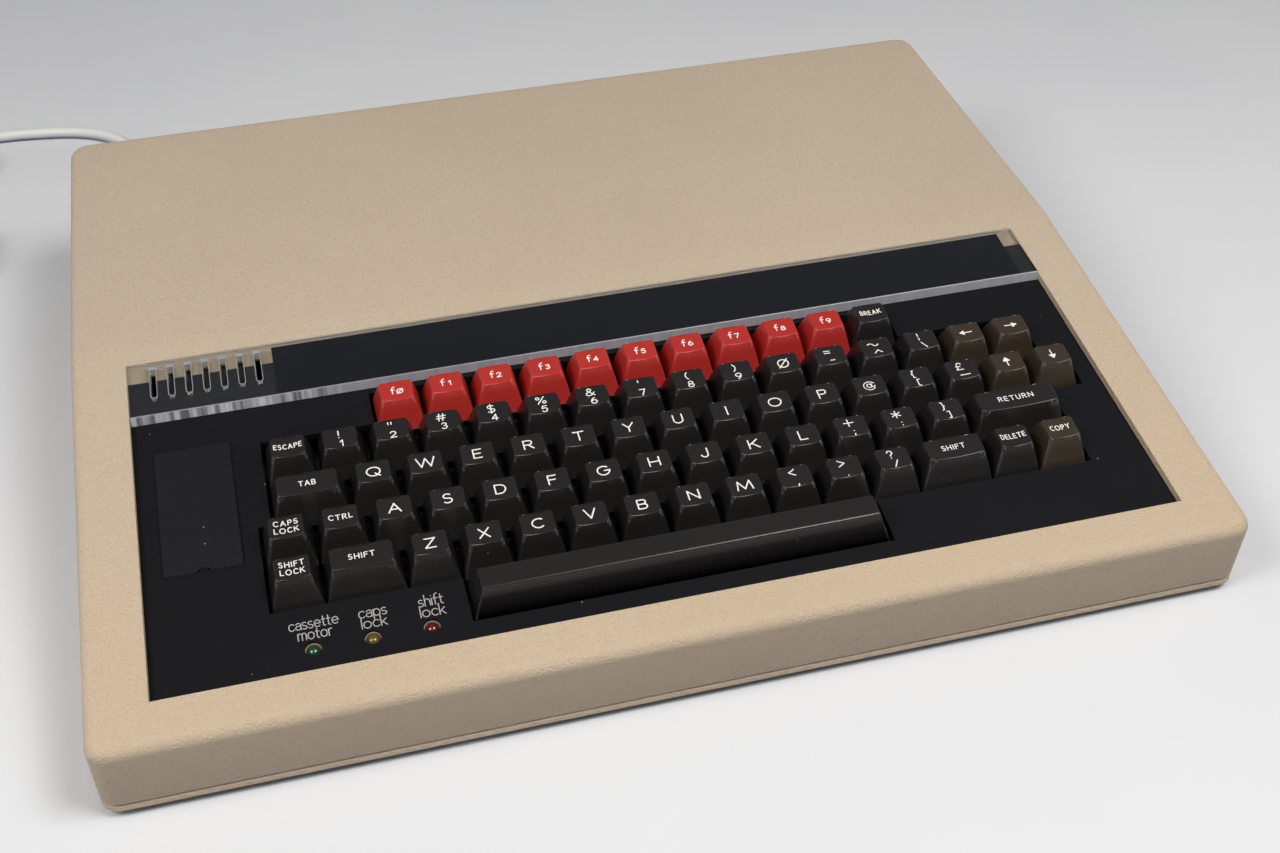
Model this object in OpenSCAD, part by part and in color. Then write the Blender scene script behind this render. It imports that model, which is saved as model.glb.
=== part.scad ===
// Vintage home computer: a wedge-shaped cream case over a black keyboard, with the
// boards, power supply, rear sockets and mains lead that it holds.
// Millimetres. +Z is up and the front faces -Y. The origin is on the table, under
// the middle of the case. Cuts run CUT past the faces that they open.

/* [Case] */
// Width of the case along its lower edge
case_w = 413; // [408:0.5:420]
// Depth of the case, front to rear
case_d = 342.6; // [338:0.2:350]
// Height of the front top edge above the table
front_h = 34; // [32:0.5:38]
// Tilt of the keyboard slope, degrees
slope_angle = 9.7; // [9:0.1:10.5]
// Length of the keyboard slope, from the front edge to the fold
slope_l = 185.4; // [183:0.2:190]
// Rise of the rear top towards the back, degrees
rear_angle = 3.3; // [2.5:0.1:4.5]
// Thickness of the case's walls
wall = 3; // [2.5:0.1:3.4]
// Rounding of the top edges
edge_r = 4.5; // [4:0.1:6]
// Plan radius of the front corners
corner_r = 7; // [6:0.5:10]
// Plan radius of the rear corners
rear_corner_r = 8; // [6:0.5:10]
// Outward lean of the side walls, degrees
side_draft = 1; // [0.5:0.1:1.5]
// Inward lean of the front wall towards its foot, degrees
front_lean = 7; // [5:0.5:9]
// Gap between the two halves of the case
parting_gap = 0.5; // [0.3:0.1:0.8]

/* [Tray] */
// Thickness of the tray's floor
tray_t = 2.4; // [2:0.1:3]
// Height of the rim inside the case wall
rim_h = 8; // [6:0.5:9]
// Thickness of the rim
rim_t = 2; // [1.6:0.1:2.4]
// Height of the rubber feet
foot_h = 3.4; // [3:0.1:4]
// Radius of the rubber feet
foot_r = 7; // [5:0.5:8]
// Distance of the feet from the sides
foot_inset = 24; // [20:1:30]
// How far the rear panel is set back
recess_d = 8.3; // [7.5:0.1:9]
// Thickness of the rear panel
panel_t = 2.5; // [2:0.1:3]
// Height of the opening in the case's rear wall, above the table
rear_open_z = 50; // [49:0.5:51]
// Width of the case wall left beside the rear opening
cheek_w = 9.5; // [9:0.5:12]

/* [Vents] */
// Width of a vent slot
vent_w = 3.4; // [3:0.1:4]
// Pitch of the vent slots
vent_pitch = 8; // [7:0.5:10]
// Number of vent slots in the rear wall
vent_count = 38; // [20:2:40]
// Height of a rear vent slot
vent_h = 12; // [8:0.5:13]
// Length of a slot in the tray's floor
floor_slot_l = 46; // [30:1:60]

/* [Keyboard opening] */
// Width of the opening in the case
opening_w = 369; // [366:0.5:371]
// Distance of the opening from the front edge, up the slope
opening_s = 17.5; // [16:0.5:19]
// Length of the opening, up the slope
opening_l = 157; // [156:0.5:159]
// Reach of the ledge under the rear edge of the opening
ledge_l = 9; // [6:0.5:10]
// Thickness of that ledge
ledge_t = 2.2; // [1.8:0.1:2.6]

/* [Keyboard surround] */
// Depth of the surround's face below the case
face_drop = 2.8; // [2.4:0.1:3]
// Thickness of the surround
surround_t = 2.5; // [2:0.1:2.6]
// Reach of the flange under the case
flange_w = 4.5; // [3:0.1:4.5]
// Clearance of the surround in the opening
surround_gap = 0.3; // [0.2:0.05:0.5]
// Margin of the key cut-outs round the keys
cutout_gap = 0.45; // [0.3:0.05:0.7]
// Extra room behind the number row
number_row_room = 3; // [1:0.1:4]

/* [Keys] */
// Pitch of the keys
pitch = 19.05; // [18.8:0.05:19.3]
// Space between two keys
key_gap = 0.95; // [0.7:0.05:1.4]
// Height of a key cap
key_h = 12.6; // [11.5:0.1:13]
// Height of the bend in a cap's sides
key_mid_h = 4.6; // [3.5:0.1:6]
// Width of a cap at that bend
key_mid_w = 16.3; // [15.5:0.1:17]
// Width of a cap's top
key_top_w = 12.1; // [11:0.1:13]
// Front of a cap's top, from the key's centre
key_top_front = 3.9; // [3.5:0.1:4.5]
// Rear of a cap's top, from the key's centre
key_top_rear = 5.8; // [5:0.1:6.5]
// Front face at the bend, from the key's centre
key_mid_front = 6.9; // [6.5:0.1:7.5]
// Rear face at the bend, from the key's centre
key_mid_rear = 8.2; // [7.8:0.1:8.6]
// Depth of the dish in a cap's top
dish_depth = 0.9; // [0.5:0.1:1.2]
// Cut across a cap's corners
key_corner = 0.8; // [0.4:0.1:1.2]
// Wall of a cap
key_wall = 1.4; // [1.2:0.1:1.8]
// Top skin of a cap
key_roof = 2.2; // [2:0.1:2.8]
// Travel of a key
key_travel = 3.8; // [3:0.1:4]
// Radius of a key's stem
stem_r = 2; // [1.6:0.1:2.4]
// Distance of the space bar from the front edge, up the slope
space_s = 36.5; // [36:0.1:38]
// Half length of the space bar's top
space_top = 71.8; // [70:0.1:73]

/* [Switches] */
// Width of a key switch
switch_w = 15.6; // [14:0.1:16]
// Depth of the keyboard's circuit board below the case's surface
keyboard_drop = 21; // [20:0.1:21.5]
// Thickness of the circuit boards
board_t = 1.6; // [1.4:0.1:1.8]
// Margin of the keyboard's circuit board round the keys
board_margin = 1.8; // [1:0.1:2]
// Radius of the pillars that carry a board
pillar_r = 4; // [3.5:0.1:4.5]

/* [Clear strip] */
// Depth of the strip, front to rear
strip_l = 30.8; // [29:0.1:31.5]
// Height of the strip's front edge over the case's surface
strip_rise = 1; // [0.6:0.1:1.4]
// Lean of the strip's front face
strip_lean = 1.6; // [1:0.1:2.4]
// Length of the printed backing
label_l = 307; // [290:1:312]
// Number of sound slots at the left end
slot_count = 7; // [4:1:7]
// Pitch of the sound slots
slot_pitch = 6.6; // [6:0.1:7]
// Width of a sound slot
slot_w = 2.2; // [1.8:0.1:2.6]
// Length of a sound slot
slot_l = 16.6; // [12:0.1:17.5]

/* [Blank cover] */
// Width of the blank cover left of the keys
cover_w = 28.2; // [26:0.1:29]
// Length of the blank cover
cover_l = 59.2; // [56:0.1:62]
// Height of the blank cover over the surround
cover_rise = 0.9; // [0.6:0.1:1.2]

/* [Lights] */
// Radius of a status light
light_r = 2.5; // [2.2:0.1:2.7]
// Pitch of the status lights
light_pitch = 20.05; // [18:0.05:21]

/* [Inside] */
// Space between the power supply and the main circuit board
board_gap = 7; // [5:0.5:15]
// Depth of the main circuit board
main_board_d = 246; // [240:1:250]
// Height of the board's pillars over the tray's floor
standoff_h = 6.2; // [6:0.1:7]
// Width of the power supply
supply_w = 68; // [64:0.5:69]
// Height of the power supply
supply_h = 43.6; // [42:0.2:43.6]
// Height of the power supply's nose, under the keyboard
supply_nose_h = 21; // [18:0.5:23]
// Radius of the speaker
speaker_r = 19; // [17:0.5:19]
// Depth of the speaker
speaker_d = 13; // [10:0.5:14]

/* [Mains lead] */
// Diameter of the lead
cord_d = 6; // [5.6:0.1:6.4]
// Length of the strain relief
relief_l = 25; // [22:0.5:26]

/* [Hidden] */

CUT = 1;
SEAT = 0.2;
FLAT_FN = 32;
ROUND_FN = 48;

CREAM = "#d9c9b0";
BLACK = "#232226";
KEY_BLACK = "#29272a";
RED = "#c8322d";
BROWN = "#4b3e37";
GREEN = "#2f6b4a";
STEEL = "#b9bcbf";
WHITE = "#d8d4cc";

// Key layout: row 0 is the function row, row 5 the space bar, and a place counts
// key pitches from the 1 key. A key is [node, row, place, width in pitches, colour].
single_keys = [
    ["key_break", 0, 11.25, 1, KEY_BLACK],
    ["key_escape", 1, -1, 1, KEY_BLACK],
    ["key_left", 1, 13, 1, BROWN],
    ["key_right", 1, 14, 1, BROWN],
    ["key_tab", 2, -0.75, 1.5, KEY_BLACK],
    ["key_up", 2, 13.5, 1, BROWN],
    ["key_down", 2, 14.5, 1, BROWN],
    ["key_caps_lock", 3, -1.25, 1, KEY_BLACK],
    ["key_ctrl", 3, -0.25, 1, KEY_BLACK],
    ["key_return", 3, 13.25, 2, KEY_BLACK],
    ["key_shift_lock", 4, -1.25, 1, KEY_BLACK],
    ["key_shift_left", 4, 0, 1.5, KEY_BLACK],
    ["key_shift_right", 4, 11.5, 1.5, KEY_BLACK],
    ["key_delete", 4, 12.75, 1, KEY_BLACK],
    ["key_copy", 4, 13.75, 1, BROWN],
    ["key_space", 5, 5.75, 8, KEY_BLACK]
];
// Runs of plain keys: [node, row, place of the first key, number of keys]
key_groups = [
    ["number_row_keys", 1, 0, 13],
    ["upper_letter_keys", 2, 0.5, 13],
    ["middle_letter_keys", 3, 0.75, 12],
    ["lower_letter_keys", 4, 1.25, 10]
];

function_place = 1.25;
function_count = 10;
space_place = 5.75;
last_place = 15;
// First and last place that each row's cut-out spans, in pitches
row_span = [[0.75, 11.75], [-1.5, 14.5], [-1.5, last_place], [-1.75, 14.25], [-1.75, 14.25], [1.75, 9.75]];
// Height of the front edge of each row's tops over the case's surface
row_top = [5.9, 5.7, 5.7, 6.2, 6.7, 6.8];

// Places up the slope and heights on it
ca = cos(slope_angle);
sa = sin(slope_angle);
crease_y = -case_d / 2 - edge_r * (ca + sa - 1);
split_z = foot_h + tray_t;
case_z = split_z + parting_gap;
fold_y = slope_y(slope_l, 0);
fold_z = slope_z(slope_l, 0);
rear_z = fold_z + (case_d / 2 - fold_y) * tan(rear_angle);
fold_turn = edge_r / (1 + cos(slope_angle - rear_angle));
front_top_z = slope_z(0, -edge_r);

function slope_y(s, n) = crease_y + s * ca - n * sa;
function slope_z(s, n) = front_h + s * sa + n * ca;
function side_x(z) = case_w / 2 - (z - split_z) * tan(side_draft);
function front_y(z) = slope_y(0, -edge_r) + (front_top_z - z) * tan(front_lean);
function rear_top_z(y) = rear_z - (case_d / 2 - y) * tan(rear_angle);
function key_x(place) = (place - space_place) * pitch;
function row_s(row) = space_s + (5 - row) * pitch;
function base_n(row) = row_top[row] - key_h;

// Keyboard opening and what fills it
opening_end = opening_s + opening_l;
face_n = -face_drop;
under_n = face_n - surround_t;
surround_w = opening_w - 2 * surround_gap;
ledge_s = opening_end - ledge_l;
ledge_n = face_n - SEAT - ledge_t;
surround_end = ledge_s - surround_gap;
strip_w = opening_w - 2 * surround_gap;
strip_end = opening_end - SEAT;
strip_s = strip_end - strip_l;
label_t = 0.3;
label_n = face_n + 0.05;
strip_n = label_n + label_t + 0.05;
strip_rear_n = -0.3;
label_edge = 6.5;
label_x = strip_w / 2 - label_edge;
slot_x = -strip_w / 2 + 9.5;
slot_s = strip_end - 3.4 - slot_l;
cover_x = -163.3;
cover_s = 98.4;
cover_edge = 0.5;
cover_seat = 0.8;
light_x = -130.6;
light_s = 28.1;
light_hole_gap = 0.4;

// Space bar's side section
space_front = 8.6;
space_rear = 8.8;
space_top_front = 4.2;
space_top_rear = 5.3;
space_crown = 0.6;
space_fall = 0.5;

// Ribbon from the keyboard's board to the main board
ribbon_t = 1;
ribbon_w = 43;
ribbon_x = -38;
ribbon_s = 133;

// Keyboard works
switch_n = min(row_top) - key_h - key_travel - 0.4;
board_n = -keyboard_drop;
stem_reach = 5;
stem_gap = 0.3;
keyboard_s = 24;
keyboard_l = 116;
keyboard_board_w = 2 * (key_x(last_place) + board_margin);
post_inset = 8;
post_x = keyboard_board_w / 2 - post_inset;
pillar_s = [32, 62];
rear_post_s = 131;
screw_r = 1.5;
pilot_gap = 0.15;
head_r = 3;
head_h = 1.8;
screw_l = 8;
clear_r = screw_r + 0.3;

// Rear panel, and the power supply from the left-hand wall
panel_y = case_d / 2 - recess_d;
panel_in = panel_y - panel_t;
supply_left = -case_w / 2 + 9.5;
supply_right = supply_left + supply_w;
supply_front = -60;
supply_step = 22;
supply_z = split_z + SEAT;
supply_screw_y = [-40, 130];
supply_mid = (supply_left + supply_right) / 2;

// Main board, from the right-hand wall and the power supply
board_right = case_w / 2 - 10.5;
board_left = supply_right + board_gap;
main_board_w = board_right - board_left;
board_rear = panel_in - 2.5;
board_front = board_rear - main_board_d;
board_z = split_z + standoff_h;
board_top = board_z + board_t;
ribbon_y = board_front + 0.28 * main_board_d;
standoff_x = [board_left + 7, board_right - 7];
standoff_y = [for (share = [0.163, 0.55, 0.845]) board_front + share * main_board_d];

// Floor vents
floor_slot_x = 0.29 * case_w;
floor_slot_y = 0.35 * case_d / 2;

// Case screws
front_screw_x = case_w / 2 - 12;
front_screw_y = crease_y + 22;
boss_w = 12;
rear_screw_x = -supply_right - boss_w / 2 - parting_gap;
rear_screw_z = 42;

// Rocker switch and strain relief on the power supply's rear
rocker_x = supply_left + 14;
rocker_z = supply_z + 27;
rocker_w = 15;
rocker_h = 22;
rocker_tilt = 10;
rocker_lift = 2;
rocker_gap = 0.3;
rocker_r = norm([rocker_h / 2, rocker_lift + rocker_h / 2 * tan(rocker_tilt)]);
sleeve_t = 0.8;
sleeve_d = 12;
rocker_y = panel_y + 0.5;
relief_x = supply_right - 29;
relief_z = 30;
relief_y = panel_y + 0.2;
relief_end_r = cord_d / 2 + 0.6;

// Rear sockets: places as shares of the board's width, and the height of their middles
function on_board(share) = board_left + share * main_board_w;
socket_z = 24;
aerial_x = on_board(0.05346);
video_x = on_board(0.12579);
din_x = [for (share = [0.2107, 0.305, 0.3994, 0.7296]) on_board(share)];
d_socket_x = on_board(0.57233);
jackscrew_gap = 33.3;
aerial_r = 4.15;
video_r = 4.8;
din_r = 7.5;
// Width and depth of each socket's block on the board
aerial_block = [18, 24];
video_block = [14, 13];
din_block = [20, 15];
analogue_block = [34, 13];
jack_l = 11;

// Headers under the front edge of the main board: pins in each
header_ways = [34, 26, 20, 34, 40];
header_w = 9;
header_h = 7.4;
header_wall = 1.3;
header_floor = 2;
header_space = 4;
header_y = board_front + 6;
pin_pitch = 2.54;
function header_l(i) = header_ways[i] / 2 * pin_pitch + 7.5;
function header_x(i) = i == 0 ? board_right - 7 - header_l(0)
    : header_x(i - 1) - header_space - header_l(i);

// Mains lead: its route from the strain relief to the coil, and from the coil to
// the plug, in chosen round numbers. The coil holds the rest of its length.
cord_route = [
    [-158, 190, 30], [-158, 202, 29], [-159, 214, 26], [-160.5, 226, 20], [-163, 238, 13],
    [-167, 250, 7], [-172.5, 263, 3.6], [-179.5, 279, 3], [-187, 296, 3], [-195.5, 312, 3],
    [-206, 322.5, 3], [-217, 328.5, 3], [-228, 332, 3], [-239, 334, 3], [-250, 335.5, 3],
    [-262, 336, 3], [-276, 336, 3], [-290, 336, 3], [-297, 336, 3]
];
cord_sides = 10;
coil_x = -316;
coil_y = 294;
coil_mid_r = 36;
coil_turns_w = 3;
plug_turn_r = 24;
plug_x = coil_x + plug_turn_r;
plug_w = 52;
plug_l = 50;
plug_t = 22;
plug_y = 201;
pin_gap = 22.2;
plug_route = concat(
    [for (a = [65, 45, 25, 10]) [coil_x + plug_turn_r * cos(a),
        coil_y - coil_mid_r - cord_d - plug_turn_r * (1 - sin(a)), 9 + a / 15]],
    [[plug_x, 226.4, 9]]
);

// ------------------------------------------------------------ helpers

// Local axes on the keyboard slope: x across, y up the slope, z square to it
module on_slope() {
    translate([0, crease_y, front_h]) rotate([slope_angle, 0, 0]) children();
}

// Disc with a rounded upper edge, which a hull stretches into a rounded corner
module corner_disc(plan_r, top_r) {
    rotate_extrude($fn = FLAT_FN)
        polygon(concat([[0, 0]], [for (a = [0:15:90]) [plan_r - top_r + top_r * cos(a), top_r * sin(a)]],
            [[0, top_r]]));
}

// The case's outer form, moved in by a wall
module case_form(inset) {
    plan = corner_r - inset;
    rear_plan = rear_corner_r - inset;
    round = edge_r - inset;
    fold_cy = fold_y + fold_turn * (sa + sin(rear_angle));
    fold_cz = fold_z - fold_turn * (ca + cos(rear_angle));
    rear_cy = case_d / 2 - rear_corner_r;
    hull() for (side = [-1, 1]) {
        on_slope() translate([side * (side_x(front_top_z) - corner_r), corner_r, -edge_r])
            corner_disc(plan, round);
        for (tilt = [slope_angle, rear_angle])
            translate([side * (side_x(fold_cz) - edge_r), fold_cy, fold_cz]) rotate([tilt, 0, 0])
                corner_disc(round, round);
        translate([side * (side_x(rear_z - edge_r) - rear_corner_r), rear_cy,
            rear_top_z(rear_cy) - edge_r / cos(rear_angle)])
            rotate([rear_angle, 0, 0]) corner_disc(rear_plan, round);
        translate([side * (side_x(case_z) - corner_r), front_y(case_z) + corner_r, case_z - inset])
            cylinder(r = plan, h = 0.1, $fn = FLAT_FN);
        translate([side * (side_x(case_z) - rear_corner_r), rear_cy, case_z - inset])
            cylinder(r = rear_plan, h = 0.1, $fn = FLAT_FN);
    }
}

// Flat plate with the case's plan, moved in from the outer wall
module plan_plate(inset, z, h) {
    x = case_w / 2 - inset;
    y0 = front_y(split_z) + inset;
    y1 = case_d / 2 - inset;
    r0 = max(corner_r - inset, 1);
    r1 = max(rear_corner_r - inset, 1);
    translate([0, 0, z]) linear_extrude(h) {
        translate([-x, y0 + r0]) square([2 * x, y1 - r1 - y0 - r0]);
        translate([-x + r0, y0]) square([2 * (x - r0), 2 * r0]);
        translate([-x + r1, y1 - 2 * r1]) square([2 * (x - r1), 2 * r1]);
        for (side = [-1, 1]) {
            translate([side * (x - r0), y0 + r0]) circle(r0, $fn = ROUND_FN);
            translate([side * (x - r1), y1 - r1]) circle(r1, $fn = ROUND_FN);
        }
    }
}

// Box from its middle in x, with its other corner given
module box_x(x, y, z, size) {
    translate([x - size[0] / 2, y, z]) cube(size);
}

// Cylinder that runs to the rear from a place
module rear_rod(x, y, z, r, l) {
    translate([x, y, z]) rotate([-90, 0, 0]) cylinder(r = r, h = l, $fn = ROUND_FN);
}

module screw(l) {
    cylinder(r = head_r, h = head_h, $fn = ROUND_FN);
    translate([0, 0, -l]) cylinder(r = screw_r, h = l + CUT, $fn = ROUND_FN);
}

// Sound slots, cut through the strip, the surround and the ledge
module sound_slots(n, h) {
    for (i = [0 : slot_count - 1]) translate([slot_x + i * slot_pitch - slot_w / 2, slot_s, n])
        cube([slot_w, slot_l, h]);
}

// ------------------------------------------------------------ case

module upper_case() {
    color(CREAM) difference() {
        union() {
            difference() {
                case_form(0);
                case_form(wall);
            }
            intersection() {
                case_form(wall / 2);
                union() {
                    case_posts();
                    on_slope() translate([-opening_w / 2 - flange_w, ledge_s, ledge_n])
                        cube([opening_w + 2 * flange_w, ledge_l + flange_w, -ledge_n]);
                }
            }
        }
        on_slope() translate([-opening_w / 2, opening_s, face_n - SEAT])
            cube([opening_w, opening_l, wall + CUT]);
        on_slope() sound_slots(ledge_n - CUT, ledge_t + 2 * CUT);
        box_x(0, case_d / 2 - wall - CUT, 0, [case_w - 2 * cheek_w, wall + 2 * CUT, rear_open_z]);
        rear_vents();
        case_pilots();
    }
}

module case_posts() {
    for (side = [-1, 1]) {
        translate([side * front_screw_x, front_screw_y, split_z + SEAT])
            cylinder(r = pillar_r, h = front_h, $fn = ROUND_FN);
        box_x(side * rear_screw_x, panel_in - SEAT - boss_w, rear_screw_z - boss_w / 2,
            [boss_w, boss_w, rear_z]);
    }
}

module case_pilots() {
    for (side = [-1, 1]) {
        translate([side * front_screw_x, front_screw_y, 0])
            cylinder(r = screw_r + pilot_gap, h = split_z + screw_l + CUT, $fn = ROUND_FN);
        rear_rod(side * rear_screw_x, panel_in - screw_l, rear_screw_z, screw_r + pilot_gap, screw_l);
    }
}

module rear_vents() {
    first = -(vent_count - 1) / 2 * vent_pitch;
    for (i = [0 : vent_count - 1])
        box_x(first + i * vent_pitch, case_d / 2 - wall - CUT, rear_open_z + 5,
            [vent_w, wall + 2 * CUT, vent_h]);
}

module lower_case() {
    color(CREAM) difference() {
        union() {
            plan_plate(0, foot_h, tray_t);
            tray_rim();
            rear_panel();
            for (x = standoff_x, y = standoff_y) translate([x, y, split_z - CUT])
                cylinder(r = pillar_r, h = standoff_h + CUT, $fn = ROUND_FN);
            keyboard_pillars();
        }
        for (x = standoff_x, y = standoff_y) translate([x, y, board_top - screw_l])
            cylinder(r = screw_r + pilot_gap, h = screw_l, $fn = ROUND_FN);
        on_slope() for (x = [-post_x, post_x], s = pillar_s)
            translate([x, s, board_n - board_t - screw_l])
                cylinder(r = screw_r + pilot_gap, h = screw_l, $fn = ROUND_FN);
        panel_holes();
        floor_holes();
    }
}

module tray_rim() {
    difference() {
        plan_plate(wall + parting_gap, split_z - CUT, rim_h + CUT);
        plan_plate(wall + parting_gap + rim_t, split_z - 2 * CUT, rim_h + 4 * CUT);
        box_x(0, panel_in, split_z, [case_w, case_d, rim_h + CUT]);
    }
}

module rear_panel() {
    w = case_w - 2 * cheek_w + 2 * panel_t;
    lip_d = recess_d - wall - SEAT;
    box_x(0, panel_in, split_z - CUT, [w, panel_t, rear_open_z - split_z + SEAT + panel_t + CUT]);
    box_x(0, panel_y - CUT, rear_open_z + SEAT, [w, lip_d + CUT, panel_t]);
    for (side = [-1, 1])
        box_x(side * (w - panel_t) / 2, panel_y - CUT, split_z - CUT,
            [panel_t - SEAT, lip_d + CUT, rear_open_z - split_z + CUT + 2 * SEAT]);
}

// Pillars square to the slope, which carry the front of the keyboard
module keyboard_pillars() {
    intersection() {
        on_slope() for (x = [-post_x, post_x], s = pillar_s)
            translate([x, s, board_n - board_t - front_h]) cylinder(r = pillar_r, h = front_h, $fn = ROUND_FN);
        box_x(0, -case_d / 2, split_z - CUT, [case_w, case_d, rear_z]);
    }
}

module panel_holes() {
    box_x(supply_mid, panel_in - CUT, split_z + SEAT / 2,
        [supply_w + 2 * parting_gap, panel_t + 2 * CUT, supply_h + 2 * SEAT]);
    rear_rod(aerial_x, panel_in - CUT, socket_z, aerial_r + 1.5, panel_t + 2 * CUT);
    rear_rod(video_x, panel_in - CUT, socket_z, video_r + 1.5, panel_t + 2 * CUT);
    for (x = din_x) rear_rod(x, panel_in - CUT, socket_z, din_r + parting_gap, panel_t + 2 * CUT);
    box_x(d_socket_x, panel_in - CUT, socket_z - 6.6, [40, panel_t + 2 * CUT, 13.2]);
    for (side = [-1, 1]) rear_rod(side * rear_screw_x, panel_in - CUT, rear_screw_z, clear_r, panel_t + 2 * CUT);
}

module floor_holes() {
    last = len(header_ways) - 1;
    translate([header_x(last) - header_space, header_y - 9, foot_h - CUT])
        cube([header_x(0) + header_l(0) - header_x(last) + 2 * header_space, 18, tray_t + 2 * CUT]);
    for (x = [-front_screw_x, front_screw_x]) translate([x, front_screw_y, 0])
        cylinder(r = clear_r, h = split_z + CUT, $fn = ROUND_FN);
    for (y = supply_screw_y) translate([supply_mid, y, 0])
        cylinder(r = clear_r, h = split_z + CUT, $fn = ROUND_FN);
    for (x = [-floor_slot_x, 0, floor_slot_x], i = [-3:3]) box_x(x + i * vent_pitch, floor_slot_y, foot_h - CUT,
        [vent_w, floor_slot_l, tray_t + 2 * CUT]);
}

module rubber_feet() {
    color(BLACK) for (x = [-1, 1], y = [-1, 1])
        translate([x * (case_w / 2 - foot_inset), y * (case_d / 2 - foot_inset), 0])
            rotate_extrude($fn = ROUND_FN)
                polygon([[0, 0], [foot_r - 0.8, 0], [foot_r, 0.8], [foot_r, foot_h], [0, foot_h]]);
}

module fixing_screws() {
    color(STEEL) {
        for (x = [-front_screw_x, front_screw_x]) translate([x, front_screw_y, foot_h - 0.1])
            rotate([180, 0, 0]) screw(screw_l);
        for (x = [-rear_screw_x, rear_screw_x]) translate([x, panel_y + 0.1, rear_screw_z])
            rotate([-90, 0, 0]) screw(screw_l);
        for (x = standoff_x, y = standoff_y) translate([x, y, board_top + 0.1]) screw(screw_l - 2);
        for (y = supply_screw_y) translate([supply_mid, y, foot_h - 0.1]) rotate([180, 0, 0]) screw(screw_l);
        on_slope() {
            for (x = [-post_x, post_x], s = pillar_s) translate([x, s, board_n + 0.1]) screw(screw_l - 2);
            for (x = [-post_x, post_x]) translate([x, rear_post_s, board_n - board_t - 0.1])
                rotate([180, 0, 0]) screw(screw_l - 2);
        }
    }
}

// ------------------------------------------------------------ keyboard

module keyboard_surround() {
    color(BLACK) on_slope() difference() {
        union() {
            translate([-surround_w / 2, opening_s + surround_gap, under_n])
                cube([surround_w, surround_end - opening_s - surround_gap, surround_t]);
            translate([-opening_w / 2 - flange_w, opening_s - flange_w, under_n])
                cube([opening_w + 2 * flange_w, surround_end - opening_s + flange_w, -wall - SEAT - under_n]);
            for (x = [-post_x, post_x]) translate([x, rear_post_s, board_n])
                cylinder(r = pillar_r, h = under_n - board_n + CUT, $fn = ROUND_FN);
        }
        for (row = [0:5]) key_cutout(row);
        for (i = [0:2]) translate([light_x + i * light_pitch, light_s, under_n - CUT])
            cylinder(r = light_r + light_hole_gap, h = surround_t + 2 * CUT, $fn = ROUND_FN);
        translate([cover_x - cover_w / 2 + cover_seat, cover_s - cover_l / 2 + cover_seat, under_n - CUT])
            cube([cover_w - 2 * cover_seat, cover_l - 2 * cover_seat, surround_t + 2 * CUT]);
        sound_slots(under_n - CUT, surround_t + 2 * CUT);
        for (x = [-post_x, post_x]) translate([x, rear_post_s, board_n - CUT])
            cylinder(r = screw_r + pilot_gap, h = screw_l, $fn = ROUND_FN);
    }
}

module key_cutout(row) {
    x0 = key_x(row_span[row][0]) - cutout_gap;
    x1 = key_x(row_span[row][1]) + cutout_gap;
    room = row == 1 ? number_row_room : cutout_gap;
    translate([x0, row_s(row) - pitch / 2 - cutout_gap, under_n - CUT])
        cube([x1 - x0, pitch + cutout_gap + room, surround_t + 2 * CUT]);
}

module clear_strip() {
    color("#cfd6d8", 0.5) on_slope() difference() {
        rotate([90, 0, 90]) linear_extrude(strip_w, center = true)
            polygon([[strip_s, strip_n], [strip_s + strip_lean, strip_rise], [strip_end, strip_rear_n],
                [strip_end, strip_n]]);
        sound_slots(strip_n - CUT, strip_rise - strip_n + 2 * CUT);
    }
}

module strip_label() {
    color(BLACK) on_slope() translate([label_x - label_l, strip_s + 0.8, label_n])
        cube([label_l, strip_l - 1.6, label_t]);
}

module slot_cover() {
    w = cover_w / 2;
    l = cover_l / 2;
    seat = cover_seat + 0.3;
    color(BLACK) on_slope() translate([cover_x, cover_s, face_n + 0.05]) difference() {
        union() {
            intersection() {
                bevelled_block(w, cover_l, cover_rise, cover_edge, [90, 0, 0]);
                bevelled_block(l, cover_w, cover_rise, cover_edge, [90, 0, 90]);
            }
            translate([seat - w, seat - l, -surround_t])
                cube([cover_w - 2 * seat, cover_l - 2 * seat, surround_t + cover_rise / 2]);
        }
        translate([0, -l - 1.5, 0]) cylinder(r = 3, h = cover_rise + CUT, $fn = ROUND_FN);
    }
}

// Extruded plate section with bevelled upper edges
module bevelled_block(half, l, h, bevel, turn) {
    rotate(turn) linear_extrude(l, center = true)
        polygon([[-half, 0], [half, 0], [half - bevel, h], [bevel - half, h]]);
}

module keyboard_board() {
    color("#3d5a34") on_slope() difference() {
        translate([-keyboard_board_w / 2, keyboard_s, board_n - board_t])
            cube([keyboard_board_w, keyboard_l, board_t]);
        for (x = [-post_x, post_x], s = concat(pillar_s, [rear_post_s]))
            translate([x, s, board_n - board_t - CUT]) cylinder(r = clear_r, h = board_t + 2 * CUT, $fn = ROUND_FN);
    }
}

module key_switches() {
    color("#e4e0d4") on_slope() {
        for (i = [0 : function_count - 1]) key_switch(0, function_place + i);
        for (k = single_keys) key_switch(k[1], k[2]);
        for (g = key_groups, i = [0 : g[3] - 1]) key_switch(g[1], g[2] + i);
    }
}

module key_switch(row, place) {
    collar = 2;
    translate([key_x(place), row_s(row), board_n]) difference() {
        union() {
            translate([-switch_w / 2, -switch_w / 2, 0]) cube([switch_w, switch_w, switch_n - board_n - collar]);
            translate([-switch_w / 2 + 1.5, -switch_w / 2 + 1.5, 0])
                cube([switch_w - 3, switch_w - 3, switch_n - board_n]);
        }
        translate([0, 0, 0.5])
            cylinder(r = stem_r + stem_gap, h = switch_n - board_n, $fn = ROUND_FN);
    }
}

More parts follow.
